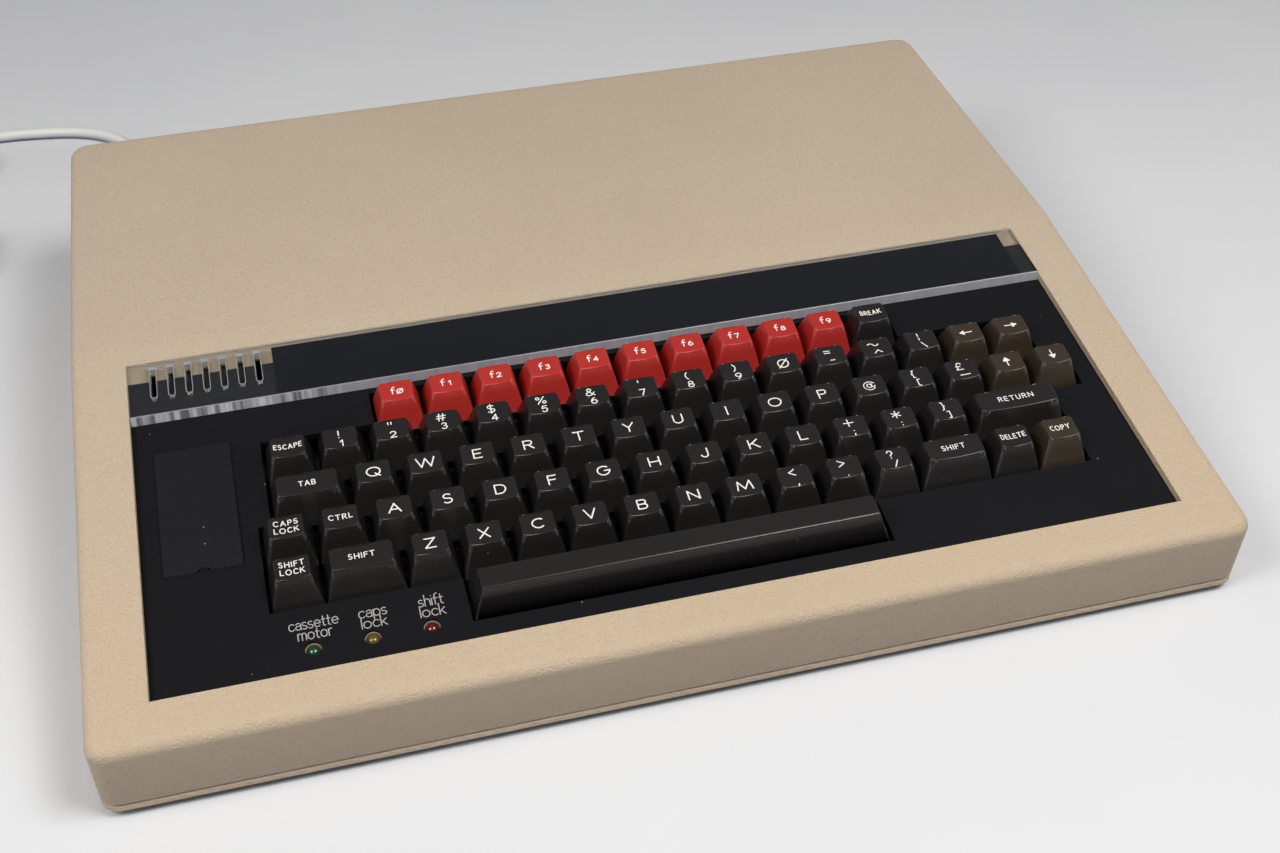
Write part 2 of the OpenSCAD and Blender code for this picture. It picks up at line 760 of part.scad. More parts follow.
module status_lights() {
    body_n = face_n - 2.6;
    color(GREEN) on_slope() for (i = [0:2]) translate([light_x + i * light_pitch, light_s, 0]) {
        translate([0, 0, board_n + 0.05]) cylinder(r = light_r, h = body_n - board_n, $fn = ROUND_FN);
        translate([0, 0, body_n]) sphere(light_r, $fn = ROUND_FN);
    }
}

// ------------------------------------------------------------ key caps

function both_ways(points) = concat(points,
    [for (i = [len(points) - 1 : -1 : 0]) [-points[i][0], points[i][1]]]);

// A cap's section seen from the front, moved in by a wall for its hollow
module cap_front(width, inset, top) {
    half = width * pitch / 2 - inset;
    foot = inset > 0 ? -CUT : 0;
    rotate([90, 0, 0]) linear_extrude(pitch * 2, center = true)
        polygon(both_ways([[half - key_gap / 2, foot], [half - (pitch - key_mid_w) / 2, key_mid_h],
            [half - (pitch - key_top_w) / 2, top]]));
}

// The same seen from the side
module cap_side(width, inset, top) {
    rim = (pitch - key_gap) / 2 - inset;
    foot = inset > 0 ? -CUT : 0;
    rotate([90, 0, 90]) linear_extrude(width * pitch * 2, center = true)
        polygon([[-rim, foot], [rim, foot], [key_mid_rear - inset, key_mid_h], [key_top_rear - inset, top],
            [inset - key_top_front, top], [inset - key_mid_front, key_mid_h]]);
}

// Section along a diagonal, which takes two opposite corners off the cap
module cap_corners(width, way) {
    half = width * pitch / 2;
    mid = half - (pitch - key_mid_w) / 2;
    tip = half - (pitch - key_top_w) / 2;
    base = half - key_gap / 2 + (pitch - key_gap) / 2;
    ends = [[-base, 0], [base, 0], [mid + key_mid_rear, key_mid_h], [tip + key_top_rear, key_h],
        [-tip - key_top_front, key_h], [-mid - key_mid_front, key_mid_h]];
    rotate([90, 0, way * 45]) linear_extrude(width * pitch * 3, center = true)
        polygon([for (p = ends) [way * (p[0] / sqrt(2) - sign(p[0]) * key_corner), p[1]]]);
}

module stem(row, top) {
    foot = switch_n - stem_reach - base_n(row);
    translate([0, 0, foot]) cylinder(r = stem_r, h = top - foot, $fn = ROUND_FN);
}

module key_cap(row, width) {
    hollow_h = key_h - key_roof;
    top_half = (width * pitch - pitch + key_top_w) / 2;
    dish_r = (top_half * top_half + dish_depth * dish_depth) / (2 * dish_depth);
    difference() {
        intersection() {
            cap_front(width, 0, key_h);
            cap_side(width, 0, key_h);
            cap_corners(width, 1);
            cap_corners(width, -1);
        }
        intersection() {
            cap_front(width, key_wall, hollow_h);
            cap_side(width, key_wall, hollow_h);
        }
        translate([0, 0, key_h - dish_depth + dish_r]) rotate([90, 0, 0])
            cylinder(r = dish_r, h = pitch * 2, center = true, $fn = 96);
    }
    stem(row, hollow_h + key_roof / 4);
}

// Side section of the space bar, with its top crowned
module space_side(inset, top) {
    crown = [for (t = [1 : -0.125 : 0]) [
        -space_top_front + inset + t * (space_top_front + space_top_rear - 2 * inset),
        top + space_crown * 4 * t * (1 - t) - space_fall * t]];
    rotate([90, 0, 90]) linear_extrude(pitch * 9, center = true)
        polygon(concat([[inset - space_front, inset > 0 ? -CUT : 0],
            [space_rear - inset, inset > 0 ? -CUT : 0]], crown));
}

module space_front_view(inset, top) {
    half = 4 * pitch - key_gap / 2 - inset;
    rotate([90, 0, 0]) linear_extrude(pitch * 2, center = true)
        polygon(both_ways([[half, inset > 0 ? -CUT : 0], [space_top - inset, top]]));
}

module space_bar() {
    hollow_h = key_h - key_roof;
    difference() {
        intersection() {
            space_front_view(0, key_h + space_crown);
            space_side(0, key_h);
        }
        intersection() {
            space_front_view(key_wall, hollow_h);
            space_side(key_wall, hollow_h - space_crown);
        }
    }
    stem(5, hollow_h);
}

module at_key(row, place) {
    on_slope() translate([key_x(place), row_s(row), base_n(row)]) children();
}

module function_key(i) {
    color(RED) at_key(0, function_place + i) key_cap(0, 1);
}

module single_key(k) {
    color(k[4]) at_key(k[1], k[2]) {
        if (k[1] == 5) space_bar();
        else key_cap(k[1], k[3]);
    }
}

module key_group(g) {
    color(KEY_BLACK) for (i = [0 : g[3] - 1]) at_key(g[1], g[2] + i) key_cap(g[1], 1);
}

// ------------------------------------------------------------ inside

// Flat strip in a side view, from one place to the next
module ribbon_run(from, to) {
    run = to - from;
    translate(from) rotate(atan2(run[1], run[0])) translate([0, -ribbon_t / 2]) square([norm(run), ribbon_t]);
    translate(to) circle(ribbon_t / 2, $fn = FLAT_FN);
}

module keyboard_ribbon() {
    y = slope_y(ribbon_s, board_n - board_t);
    z = slope_z(ribbon_s, board_n - board_t) - 1;
    plug = [8, 6];
    bends = [[y, z - plug[1] + CUT / 2], [y + 2, z - 9], [ribbon_y - 4, board_top + 11],
        [ribbon_y, board_top + 8]];
    color("#8d8f92") translate([ribbon_x, 0, 0]) rotate([90, 0, 90]) linear_extrude(ribbon_w, center = true) {
        for (i = [1 : len(bends) - 1]) ribbon_run(bends[i - 1], bends[i]);
        translate([ribbon_y - plug[0] / 2, board_top + SEAT]) square([plug[0], 8]);
    }
    color(BLACK) on_slope()
        translate([ribbon_x - ribbon_w / 2, ribbon_s - plug[0] / 2, board_n - board_t - SEAT - plug[1]])
            cube([ribbon_w, plug[0], plug[1]]);
}

module speaker() {
    magnet_r = speaker_r / 2;
    x = slot_x + (slot_count - 1) / 2 * slot_pitch;
    color(STEEL) on_slope() translate([x, slot_s + slot_l / 2 - 4, under_n - SEAT]) rotate([180, 0, 0])
        rotate_extrude($fn = ROUND_FN) polygon([[0, 0], [speaker_r, 0], [speaker_r, 2], [speaker_r - 2, 2.6],
            [magnet_r, speaker_d / 2], [magnet_r, speaker_d], [0, speaker_d]]);
}

module main_board() {
    color("#3d5a34") difference() {
        translate([board_left, board_front, board_z]) cube([main_board_w, main_board_d, board_t]);
        for (x = standoff_x, y = standoff_y) translate([x, y, board_z - CUT])
            cylinder(r = clear_r, h = board_t + 2 * CUT, $fn = ROUND_FN);
    }
}

// Rows of chips: first place and pitch as shares of the board's size, how many, and
// the size of each
small_chip = [7, 20];
wide_chip = [14, 36];
long_chip = [14, 52];
chip_rows = [
    [[0.05, 0.05], 0.041, 8, small_chip],
    [[0.05, 0.155], 0.041, 8, small_chip],
    [[0.63, 0.05], 0.066, 5, wide_chip],
    [[0.472, 0.05], 0.063, 2, long_chip],
    [[0.05, 0.382], 0.066, 7, small_chip],
    [[0.566, 0.39], 0.0755, 2, long_chip],
    [[0.755, 0.39], 0.069, 3, small_chip],
    [[0.05, 0.504], 0.066, 7, small_chip],
    [[0.755, 0.504], 0.069, 3, small_chip],
    [[0.05, 0.626], 0.066, 7, small_chip],
    [[0.566, 0.642], 0.069, 5, wide_chip]
];

module at_chip(row, i) {
    translate([board_left + (row[0][0] + i * row[1]) * main_board_w,
        board_front + row[0][1] * main_board_d, board_top]) children();
}

module circuit_chips() {
    h = 4;
    notch_r = 1.4;
    color(BLACK) for (r = chip_rows, i = [0 : r[2] - 1]) at_chip(r, i) translate([0, 0, SEAT / 2])
        difference() {
            cube([r[3][0], r[3][1], h]);
            translate([r[3][0] / 2, r[3][1], h - 1]) cylinder(r = notch_r, h = CUT + 1, $fn = FLAT_FN);
        }
}

// Finned cooler on the first of the two long chips behind
module chip_heatsink() {
    fin = 1.2;
    fin_pitch = 3;
    fin_h = 9;
    chip_h = 4;
    plate = [long_chip[0], long_chip[1] - wide_chip[0], 1.6];
    color(BLACK) at_chip(chip_rows[5], 0) translate([0, 0, chip_h + SEAT]) {
        cube(plate);
        for (x = [0 : fin_pitch : plate[0] - fin]) translate([x, 0, 0]) cube([fin, plate[1], fin_h]);
    }
}

module power_supply() {
    lid = 1.2;
    top = supply_z + supply_h;
    hx = rocker_w / 2 + rocker_gap + sleeve_t + SEAT;
    hz = rocker_r + rocker_gap + sleeve_t + SEAT;
    color("#c9bda8") difference() {
        translate([supply_mid, 0, 0]) rotate([90, 0, 90]) linear_extrude(supply_w, center = true)
            polygon([[supply_front, supply_z], [panel_y, supply_z], [panel_y, top], [supply_step, top],
                [supply_step - 8, supply_z + supply_nose_h], [supply_front, supply_z + supply_nose_h]]);
        for (i = [0:6]) box_x(supply_mid, supply_step + 30 + i * 12, top - lid, [supply_w - 20, 3, lid + CUT]);
        box_x(rocker_x, panel_y - sleeve_d - SEAT, rocker_z - hz, [2 * hx, sleeve_d + CUT, 2 * hz]);
        for (y = supply_screw_y) translate([supply_mid, y, supply_z - CUT])
            cylinder(r = screw_r + pilot_gap, h = screw_l + CUT, $fn = ROUND_FN);
    }
}

module switch_frame() {
    hx = rocker_w / 2 + rocker_gap;
    hz = rocker_r + rocker_gap;
    rim = 3;
    rim_t = 1.8;
    color(BLACK) difference() {
        union() {
            box_x(rocker_x, panel_y + SEAT, rocker_z - hz - rim, [2 * (hx + rim), rim_t, 2 * (hz + rim)]);
            box_x(rocker_x, panel_y + SEAT - sleeve_d, rocker_z - hz - sleeve_t,
                [2 * (hx + sleeve_t), sleeve_d + rim_t / 2, 2 * (hz + sleeve_t)]);
        }
        box_x(rocker_x, panel_y + SEAT - sleeve_d + sleeve_t, rocker_z - hz, [2 * hx, sleeve_d + rim_t, 2 * hz]);
    }
}

module rocker_switch() {
    l = rocker_h / 2;
    rise = rocker_lift + l * tan(rocker_tilt);
    foot = 6;
    color(BLACK) translate([rocker_x, rocker_y, rocker_z]) rotate([-rocker_tilt, 0, 0]) intersection() {
        rotate([90, 0, 90]) linear_extrude(rocker_w, center = true)
            polygon([[-foot, -l], [rise, -l], [rocker_lift, 0], [rise, l], [-foot, l]]);
        rotate([0, 90, 0]) cylinder(r = rocker_r, h = rocker_w + CUT, center = true, $fn = 96);
    }
}

// ------------------------------------------------------------ rear sockets

// Moulded block on the board, up against the panel
module socket_block(x, size) {
    box_x(x, panel_in - SEAT - size[1], board_top + SEAT / 2,
        [size[0], size[1], 2 * (socket_z - board_top) - SEAT]);
}

module aerial_socket() {
    bore_r = 1.7;
    color(STEEL) difference() {
        union() {
            socket_block(aerial_x, aerial_block);
            rear_rod(aerial_x, panel_in - CUT, socket_z, aerial_r, jack_l);
        }
        rear_rod(aerial_x, panel_in + 2, socket_z, bore_r, jack_l);
    }
}

module video_socket() {
    bore_r = 3.9;
    core_r = 2.6;
    color(STEEL) {
        difference() {
            union() {
                socket_block(video_x, video_block);
                rear_rod(video_x, panel_in - CUT, socket_z, video_r, jack_l);
            }
            rear_rod(video_x, panel_in + 2, socket_z, bore_r, jack_l);
        }
        rear_rod(video_x, panel_in, socket_z, core_r, jack_l - 3);
    }
}

module din_sockets() {
    rim = 1;
    pin_r = 0.8;
    pin_ring = 3.6;
    color(BLACK) for (x = din_x) difference() {
        union() {
            socket_block(x, din_block);
            rear_rod(x, panel_in - CUT, socket_z, din_r, CUT + panel_t + 1);
        }
        rear_rod(x, panel_y, socket_z, din_r - rim, panel_t);
        for (a = [0:45:180]) rear_rod(x + pin_ring * cos(a), panel_y - 3, socket_z + pin_ring * sin(a),
            pin_r, panel_t + 3);
    }
}

module analogue_socket() {
    shell = [25, 8.4];
    shell_lean = 1.2;
    shell_d = 5.5;
    skin = 0.8;
    flange = [39.2, 12.4];
    post_r = 2.5;
    tap_r = 1.3;
    face_y = panel_y - 1;
    color(STEEL) difference() {
        union() {
            socket_block(d_socket_x, analogue_block);
            box_x(d_socket_x, panel_in - SEAT - CUT, socket_z - 5, [30, panel_t, 10]);
            box_x(d_socket_x, face_y - 1.2, socket_z - flange[1] / 2, [flange[0], 1.2, flange[1]]);
            translate([d_socket_x, face_y - CUT, socket_z]) d_shell(shell, shell_lean, shell_d + CUT);
            for (side = [-1, 1]) rear_rod(d_socket_x + side * jackscrew_gap / 2, face_y - CUT, socket_z,
                post_r, CUT + 5);
        }
        translate([d_socket_x, face_y + 1.5, socket_z])
            d_shell([shell[0] - 2 * skin, shell[1] - 2 * skin], shell_lean, shell_d);
        for (side = [-1, 1]) rear_rod(d_socket_x + side * jackscrew_gap / 2, face_y, socket_z, tap_r, 5 + CUT);
    }
}

// Shell whose lower side is shorter than its upper side, run to the rear
module d_shell(size, lean, d) {
    translate([0, d, 0]) rotate([90, 0, 0]) linear_extrude(d)
        polygon([[-size[0] / 2 + lean, -size[1] / 2], [size[0] / 2 - lean, -size[1] / 2],
            [size[0] / 2, size[1] / 2], [-size[0] / 2, size[1] / 2]]);
}

module expansion_headers() {
    key_w = 4.5;
    low = board_z - SEAT / 2 - header_h;
    color(BLACK) for (i = [0 : len(header_ways) - 1]) translate([header_x(i), header_y - header_w / 2, low])
        difference() {
            cube([header_l(i), header_w, header_h]);
            translate([header_wall, header_wall, -CUT])
                cube([header_l(i) - 2 * header_wall, header_w - 2 * header_wall, header_h - header_floor + CUT]);
            translate([(header_l(i) - key_w) / 2, -CUT, -CUT])
                cube([key_w, header_wall + 2 * CUT, header_h - header_floor]);
        }
}

// ------------------------------------------------------------ mains lead

function unit(v) = v / norm(v);
function course(path, i) = unit(path[min(i + 1, len(path) - 1)] - path[max(i - 1, 0)]);
function ring_point(path, i, a) =
    let (along = course(path, i), across = unit(cross(along, [0, 0, 1])), up = cross(across, along))
    path[i] + cord_d / 2 * (cos(a) * across + sin(a) * up);

// Round cord swept along a path
module cord_tube(path) {
    last = len(path) - 1;
    n = cord_sides;
    polyhedron(
        points = [for (i = [0:last], k = [0 : n - 1]) ring_point(path, i, k * 360 / n)],
        faces = concat(
            [[for (k = [0 : n - 1]) k]],
            [for (i = [0 : last - 1], k = [0 : n - 1])
                [i * n + k, (i + 1) * n + k, (i + 1) * n + (k + 1) % n, i * n + (k + 1) % n]],
            [[for (k = [n - 1 : -1 : 0]) last * n + k]]
        )
    );
}

module mains_cord() {
    color(WHITE) {
        cord_tube(cord_route);
        cord_tube(plug_route);
    }
}

module cord_grommet() {
    tip = cord_route[0][1];
    ribs = 5;
    flange_r = 8;
    neck_r = 6.4;
    cone = [for (i = [0 : 2 * ribs - 1]) let (t = i / (2 * ribs - 1))
        [neck_r + t * (relief_end_r - neck_r) - (i % 2) * 0.5, tip - relief_l + t * relief_l - relief_y]];
    color(WHITE) translate([relief_x, relief_y, relief_z]) rotate([-90, 0, 0])
        rotate_extrude($fn = ROUND_FN) polygon(concat([[0, 0], [flange_r, 0], [flange_r, tip - relief_l - relief_y]],
            cone, [[0, tip - relief_y]]));
}

module cord_coil() {
    half = coil_turns_w * cord_d / 2;
    top = 3 * cord_d;
    bevel = 2;
    color(WHITE) translate([coil_x, coil_y, 0]) rotate_extrude($fn = 64)
        polygon([[coil_mid_r - half + bevel, 0], [coil_mid_r + half - bevel, 0], [coil_mid_r + half, bevel],
            [coil_mid_r + half, top - bevel], [coil_mid_r + half - bevel, top], [coil_mid_r - half + bevel, top],
            [coil_mid_r - half, top - bevel], [coil_mid_r - half, bevel]]);
}

module coil_tie() {
    strap = 1.2;
    w = 8;
    half = coil_turns_w * cord_d / 2 + 0.4;
    top = 3 * cord_d + SEAT;
    color(BLACK) translate([coil_x + coil_mid_r, coil_y - w / 2, 0]) difference() {
        translate([-half - strap, 0, 0]) cube([2 * (half + strap), w, top + strap]);
        translate([-half, -CUT, -CUT]) cube([2 * half, w + 2 * CUT, top + CUT]);
    }
}

module mains_plug() {
    r = 9;
    body_l = plug_l - 8;
    x = plug_w / 2 - r;
    y0 = plug_y - plug_l / 2;
    gland_r = 5.5;
    color(WHITE) translate([plug_x, 0, 0]) {
        for (step = [[0, 16, 0], [16, plug_t - 16, 1.5]]) translate([0, 0, step[0]]) linear_extrude(step[1]) {
            translate([-x, y0 + step[2]]) square([2 * x, body_l - 2 * step[2]]);
            translate([-x - r + step[2], y0 + r]) square([2 * (x + r - step[2]), body_l - 2 * r]);
            for (side = [-1, 1], y = [y0 + r, y0 + body_l - r]) translate([side * x, y])
                circle(r - step[2], $fn = ROUND_FN);
        }
        translate([0, y0 + body_l - CUT, 9]) rotate([-90, 0, 0])
            cylinder(r1 = gland_r + 1, r2 = gland_r - 1, h = plug_l - body_l + CUT, $fn = ROUND_FN);
    }
}

module plug_pins() {
    blade = [6.35, 4, 17.7];
    earth = [4, 8, 22.7];
    y = plug_y + 2;
    color("#c9a968") translate([plug_x, y, plug_t + SEAT / 2]) {
        for (side = [-1, 1]) box_x(side * pin_gap / 2, -blade[1] / 2, 0, blade);
        box_x(0, -pin_gap - earth[1] / 2, 0, earth);
    }
}

// ------------------------------------------------------------ drawing

upper_case();
lower_case();
keyboard_surround();
clear_strip();
strip_label();
slot_cover();
keyboard_board();
key_switches();
status_lights();
keyboard_ribbon();
speaker();
main_board();
circuit_chips();
chip_heatsink();
power_supply();
switch_frame();
rocker_switch();
aerial_socket();
video_socket();
din_sockets();
analogue_socket();
expansion_headers();
rubber_feet();
fixing_screws();
cord_grommet();
mains_cord();
cord_coil();
coil_tie();
mains_plug();
plug_pins();
for (i = [0 : function_count - 1]) function_key(i);
for (k = single_keys) single_key(k);
for (g = key_groups) key_group(g);
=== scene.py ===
# %% [markdown]
# # A vintage home computer, dressed over its CAD frame
#
# The CAD model gives every part its size, place and joint. This file gives the parts
# their looks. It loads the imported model, sets the camera, lays the mains lead, and
# then works from the case inwards. Pieces whose CAD shape is already right keep it and
# get softened edges and a finish. The case, the key caps and the clear strip are built
# again in mesh code, because their rounded edges decide most of the look.

# %% Load the frame
import itertools
import math

import bmesh
import bpy
from mathutils import Matrix, Vector


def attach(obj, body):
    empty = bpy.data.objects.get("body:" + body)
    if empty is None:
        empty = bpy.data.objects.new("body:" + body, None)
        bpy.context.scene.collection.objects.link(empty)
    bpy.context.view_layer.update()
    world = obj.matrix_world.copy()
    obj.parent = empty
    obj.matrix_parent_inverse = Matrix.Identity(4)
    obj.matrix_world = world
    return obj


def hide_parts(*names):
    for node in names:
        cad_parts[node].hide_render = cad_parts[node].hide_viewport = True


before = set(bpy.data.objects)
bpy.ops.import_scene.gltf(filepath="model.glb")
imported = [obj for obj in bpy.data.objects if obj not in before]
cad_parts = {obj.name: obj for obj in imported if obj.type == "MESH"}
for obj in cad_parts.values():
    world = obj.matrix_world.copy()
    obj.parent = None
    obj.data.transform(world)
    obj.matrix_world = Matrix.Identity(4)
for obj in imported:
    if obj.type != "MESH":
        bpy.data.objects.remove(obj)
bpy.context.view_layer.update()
scene = bpy.context.scene
scene.view_settings.view_transform = "Standard"

# %% [markdown]
# The CAD source works in millimetres and Blender in metres, so every size below is
# written in millimetres and goes through `mm`. The keyboard lies on a slope. A place
# there is (x, s, n): across, up the slope from the front edge, and square to it.

# %% Units and the keyboard slope
MM = 0.001
CASE_W, CASE_D, FRONT_H = 413.0, 342.6, 34.0
SLOPE_ANGLE, REAR_ANGLE = math.radians(9.7), math.radians(3.3)
EDGE_R, WALL, FOLD_S = 4.5, 3.0, 185.4
CREASE_Y = -CASE_D / 2 - EDGE_R * (math.cos(SLOPE_ANGLE) + math.sin(SLOPE_ANGLE) - 1)
slope = Matrix.Translation((0, CREASE_Y * MM, FRONT_H * MM)) @ Matrix.Rotation(SLOPE_ANGLE, 4, "X")


def mm(*values):
    """A point or size in metres from millimetres."""
    return Vector(v * MM for v in values)


def on_slope(x, s, n):
    """The point, in metres, of a place on the keyboard slope."""
    return slope @ mm(x, s, n)


print("fold of the case at", on_slope(0, FOLD_S, 0))

# %% [markdown]
# ## Camera
#
# The camera looks down on the machine from the front left, about 0.7 m away. Its
# place and direction are written as three unit axes, which says exactly how it is
# turned, where three angles would hide it.

# %% Camera
camera_right = Vector((0.9673, -0.2530, -0.0163))
camera_up = Vector((0.1676, 0.5900, 0.7898))
camera_ahead = Vector((0.1902, 0.7667, -0.6131))
camera_data = bpy.data.cameras.new("camera")
camera_data.sensor_width, camera_data.lens = 36.0, 46.14
camera = bpy.data.objects.new("camera", camera_data)
camera.matrix_world = Matrix.Translation((-0.1168, -0.5487, 0.4295)) @ Matrix(
    (camera_right, camera_up, -camera_ahead)
).transposed().to_4x4()
scene.collection.objects.link(camera)
scene.camera = camera
print("camera at", camera.location)

# %% [markdown]
# ## Mains lead
#
# A lead is a fixed length of round cable that lies under its own weight, so it is one
# smooth line with a round section. It leaves the strain relief, sinks to the table,
# passes the rear corner and ends in a neat coil of six and a half turns. Three turns
# lie flat side by side, the next three run back out on top of them, and the last half
# turn leads to the plug. Where the coil changes lane it does so at a place where no
# other turn is in the way.

# %% Route of the lead
CORD_R = 3.0
COIL_X, COIL_Y = -316.0, 294.0
exit_run = [
    (-158, 190, 30), (-158, 202, 29), (-159, 214, 26), (-160.5, 226, 20), (-163, 238, 13),
    (-167, 250, 7), (-172.5, 263, 3.6), (-179.5, 279, 3), (-187, 296, 3), (-195.5, 312, 3),
    (-206, 322.5, 3), (-217, 328.5, 3), (-228, 332, 3), (-239, 334, 3), (-250, 335.5, 3),
    (-262, 336, 3), (-276, 336, 3), (-290, 336, 3), (-303, 336, 3),
]
PLUG_X, PLUG_TURN_R = -292.0, 24.0
plug_run = [
    (COIL_X + PLUG_TURN_R * math.cos(a), 228 + PLUG_TURN_R * math.sin(a), 9 + math.degrees(a) / 15)
    for a in map(math.radians, (65, 45, 25, 10))
] + [(PLUG_X, 226.4, 9)]
# Angle in degrees, radius and height at each change of lane
lanes = [
    (90, 42, 3), (390, 42, 3), (450, 36, 3), (750, 36, 3), (810, 30, 3), (1050, 30, 3),
    (1110, 30, 9), (1350, 30, 9), (1410, 36, 9), (1710, 36, 9), (1770, 42, 9),
    (2070, 42, 9), (2130, 42, 15), (2430, 42, 15),
]


def lane_at(angle):
    """Radius and height of the coil at an angle, eased between lanes."""
    for (a0, r0, z0), (a1, r1, z1) in zip(lanes, lanes[1:]):
        if angle <= a1:
            t = (angle - a0) / (a1 - a0)
            t = t * t * (3 - 2 * t)
            return r0 + (r1 - r0) * t, z0 + (z1 - z0) * t
    return lanes[-1][1:]


coil_run = []
for angle in range(90, 2431, 15):
    r, z = lane_at(angle)
    a = math.radians(angle)
    coil_run.append((COIL_X + r * math.cos(a), COIL_Y + r * math.sin(a), z))
cord_points = [mm(*p) for p in exit_run + coil_run + plug_run]
print("lead has", len(cord_points), "points")


# %% Lead as one tube
def smooth_path(points, steps=4):
    """A smooth curve through the points, as closer points (Catmull-Rom)."""
    ends = [points[0] * 2 - points[1]] + points + [points[-1] * 2 - points[-2]]
    path = []
    for a, b, c, d in zip(ends, ends[1:], ends[2:], ends[3:]):
        for t in (k / steps for k in range(steps)):
            square, cube = t * t, t * t * t
            path.append((b * 2 + (c - a) * t + (a * 2 - b * 5 + c * 4 - d) * square
                         + (b * 3 - a - c * 3 + d) * cube) / 2)
    return path + [points[-1]]


def direction(path, i):
    """Unit vector along a path of vectors, at one of its points."""
    return (path[min(i + 1, len(path) - 1)] - path[max(i - 1, 0)]).normalized()


def bridge(bm, a, b):
    """Adds the faces between two rings of vertices."""
    for i in range(len(a)):
        j = (i + 1) % len(a)
        bm.faces.new((a[i], a[j], b[j], b[i]))


def skin(bm, rings):
    """Bridges a row of rings, and closes the first and the last."""
    for a, b in zip(rings, rings[1:]):
        bridge(bm, a, b)
    bm.faces.new(rings[0][::-1])
    bm.faces.new(rings[-1])


def new_object(name, bm):
    """Turns a bmesh into an object in the scene."""
    mesh = bpy.data.meshes.new(name)
    bm.to_mesh(mesh)
    bm.free()
    obj = bpy.data.objects.new(name, mesh)
    scene.collection.objects.link(obj)
    return obj


def tube(name, path, radius, sides=16):
    """A closed round tube along a path. Its section is carried along without twist."""
    bm = bmesh.new()
    turns = [math.tau * k / sides for k in range(sides)]
    rings, across = [], Vector((0, 0, 1))
    for i, p in enumerate(path):
        along = direction(path, i)
        across = (across - along * across.dot(along)).normalized()
        up = along.cross(across)
        rings.append([bm.verts.new(p + (across * math.cos(a) + up * math.sin(a)) * radius) for a in turns])
    skin(bm, rings)
    for face in bm.faces:
        face.smooth = len(face.verts) == 4
    return new_object(name, bm)


lead_path = smooth_path(cord_points)
mains_lead = tube("mains_lead", lead_path, CORD_R * MM)
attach(mains_lead, "case")
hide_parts("mains_cord", "cord_coil")

# %% [markdown]
# ## Surface effects
#
# Moulded plastic is never one flat colour. Four effects turn up on nearly every piece
# of this machine, so each is a node group that is built once and placed in each
# material with its own values: a fine moulded grain, whose pits can be painted darker
# as painted shade, sparse dust specks, slow changes of tint from age and handling,
# and pale edges, which are wear and on the key caps also a painted highlight. Each
# group reads object coordinates, which are metres here, so a scale of 1000 means
# features of about a millimetre.


# %% Node helpers
def srgb(r, g, b):
    """Linear colour from the 0 to 255 values that a colour picker shows."""
    linear = [((c / 255 + 0.055) / 1.055) ** 2.4 if c > 10 else c / 255 / 12.92 for c in (r, g, b)]
    return tuple(linear) + (1.0,)


def set_inputs(tree, node, values):
    """Gives each named input of a node a constant, or a link from another node's socket."""
    for name, value in values.items():
        if isinstance(value, bpy.types.NodeSocket):
            tree.links.new(value, node.inputs[name])
        else:
            node.inputs[name].default_value = value


def add_node(tree, kind, values, **settings):
    """Adds a shader node with its settings and inputs. Gives its outputs."""
    node = tree.nodes.new("ShaderNode" + kind)
    for name, value in settings.items():
        setattr(node, name, value)
    set_inputs(tree, node, values)
    return node.outputs


def start_group(name, inputs, outputs):
    """An empty node group with named sockets, what it is given, and its end node."""
    tree = bpy.data.node_groups.new(name, "ShaderNodeTree")
    for socket, value in inputs.items():
        kind = "NodeSocketColor" if isinstance(value, tuple) else "NodeSocketFloat"
        tree.interface.new_socket(socket, in_out="INPUT", socket_type=kind).default_value = value
    for socket in outputs:
        kind = "NodeSocketColor" if socket == "Color" else "NodeSocketFloat"
        tree.interface.new_socket(socket, in_out="OUTPUT", socket_type=kind)
    return tree, tree.nodes.new("NodeGroupInput").outputs, tree.nodes.new("NodeGroupOutput")


def calc(tree, operation, a, b, clamp=False):
    """A math node whose two inputs are sockets or numbers. Gives its output."""
    return add_node(tree, "Math", {0: a, 1: b}, operation=operation, use_clamp=clamp)[0]


def mixed(tree, factor, a, b):
    """Colour b over colour a, by a factor. Each is a socket or a constant."""
    return add_node(tree, "Mix", {"Factor": factor, "A": a, "B": b}, data_type="RGBA")["Result"]


def position(tree):
    """Object coordinates, as a socket."""
    return add_node(tree, "TexCoord", {})["Object"]


def noise(tree, scale, detail=2.0, roughness=0.5):
    """Noise in object coordinates, as a socket from 0 to 1."""
    values = {"Vector": position(tree), "Scale": scale, "Detail": detail, "Roughness": roughness}
    return add_node(tree, "TexNoise", values)["Fac"]


def grade(tree, value, low, high, to_low=0.0, to_high=1.0):
    """Maps a range of a socket to another, clamped."""
    values = {"Value": value, "From Min": low, "From Max": high, "To Min": to_low, "To Max": to_high}
    return add_node(tree, "MapRange", values)["Result"]


# %% Moulded grain
grain_tree, given, end = start_group("moulded_grain", {"Scale": 900.0}, ["Height", "Pit shade"])
coarse = noise(grain_tree, given["Scale"], 3.0, 0.55)
fine = noise(grain_tree, calc(grain_tree, "MULTIPLY", given["Scale"], 2.6), 1.0)
coarse, fine = (calc(grain_tree, "MULTIPLY", *part) for part in ((coarse, 0.7), (fine, 0.3)))
height = calc(grain_tree, "ADD", coarse, fine)
# Low places of the grain: the mask for painted shade in its pits
pit_shade = grade(grain_tree, height, 0.52, 0.36)
set_inputs(grain_tree, end, {"Height": grade(grain_tree, height, 0.3, 0.68), "Pit shade": pit_shade})
print("group", grain_tree.name)

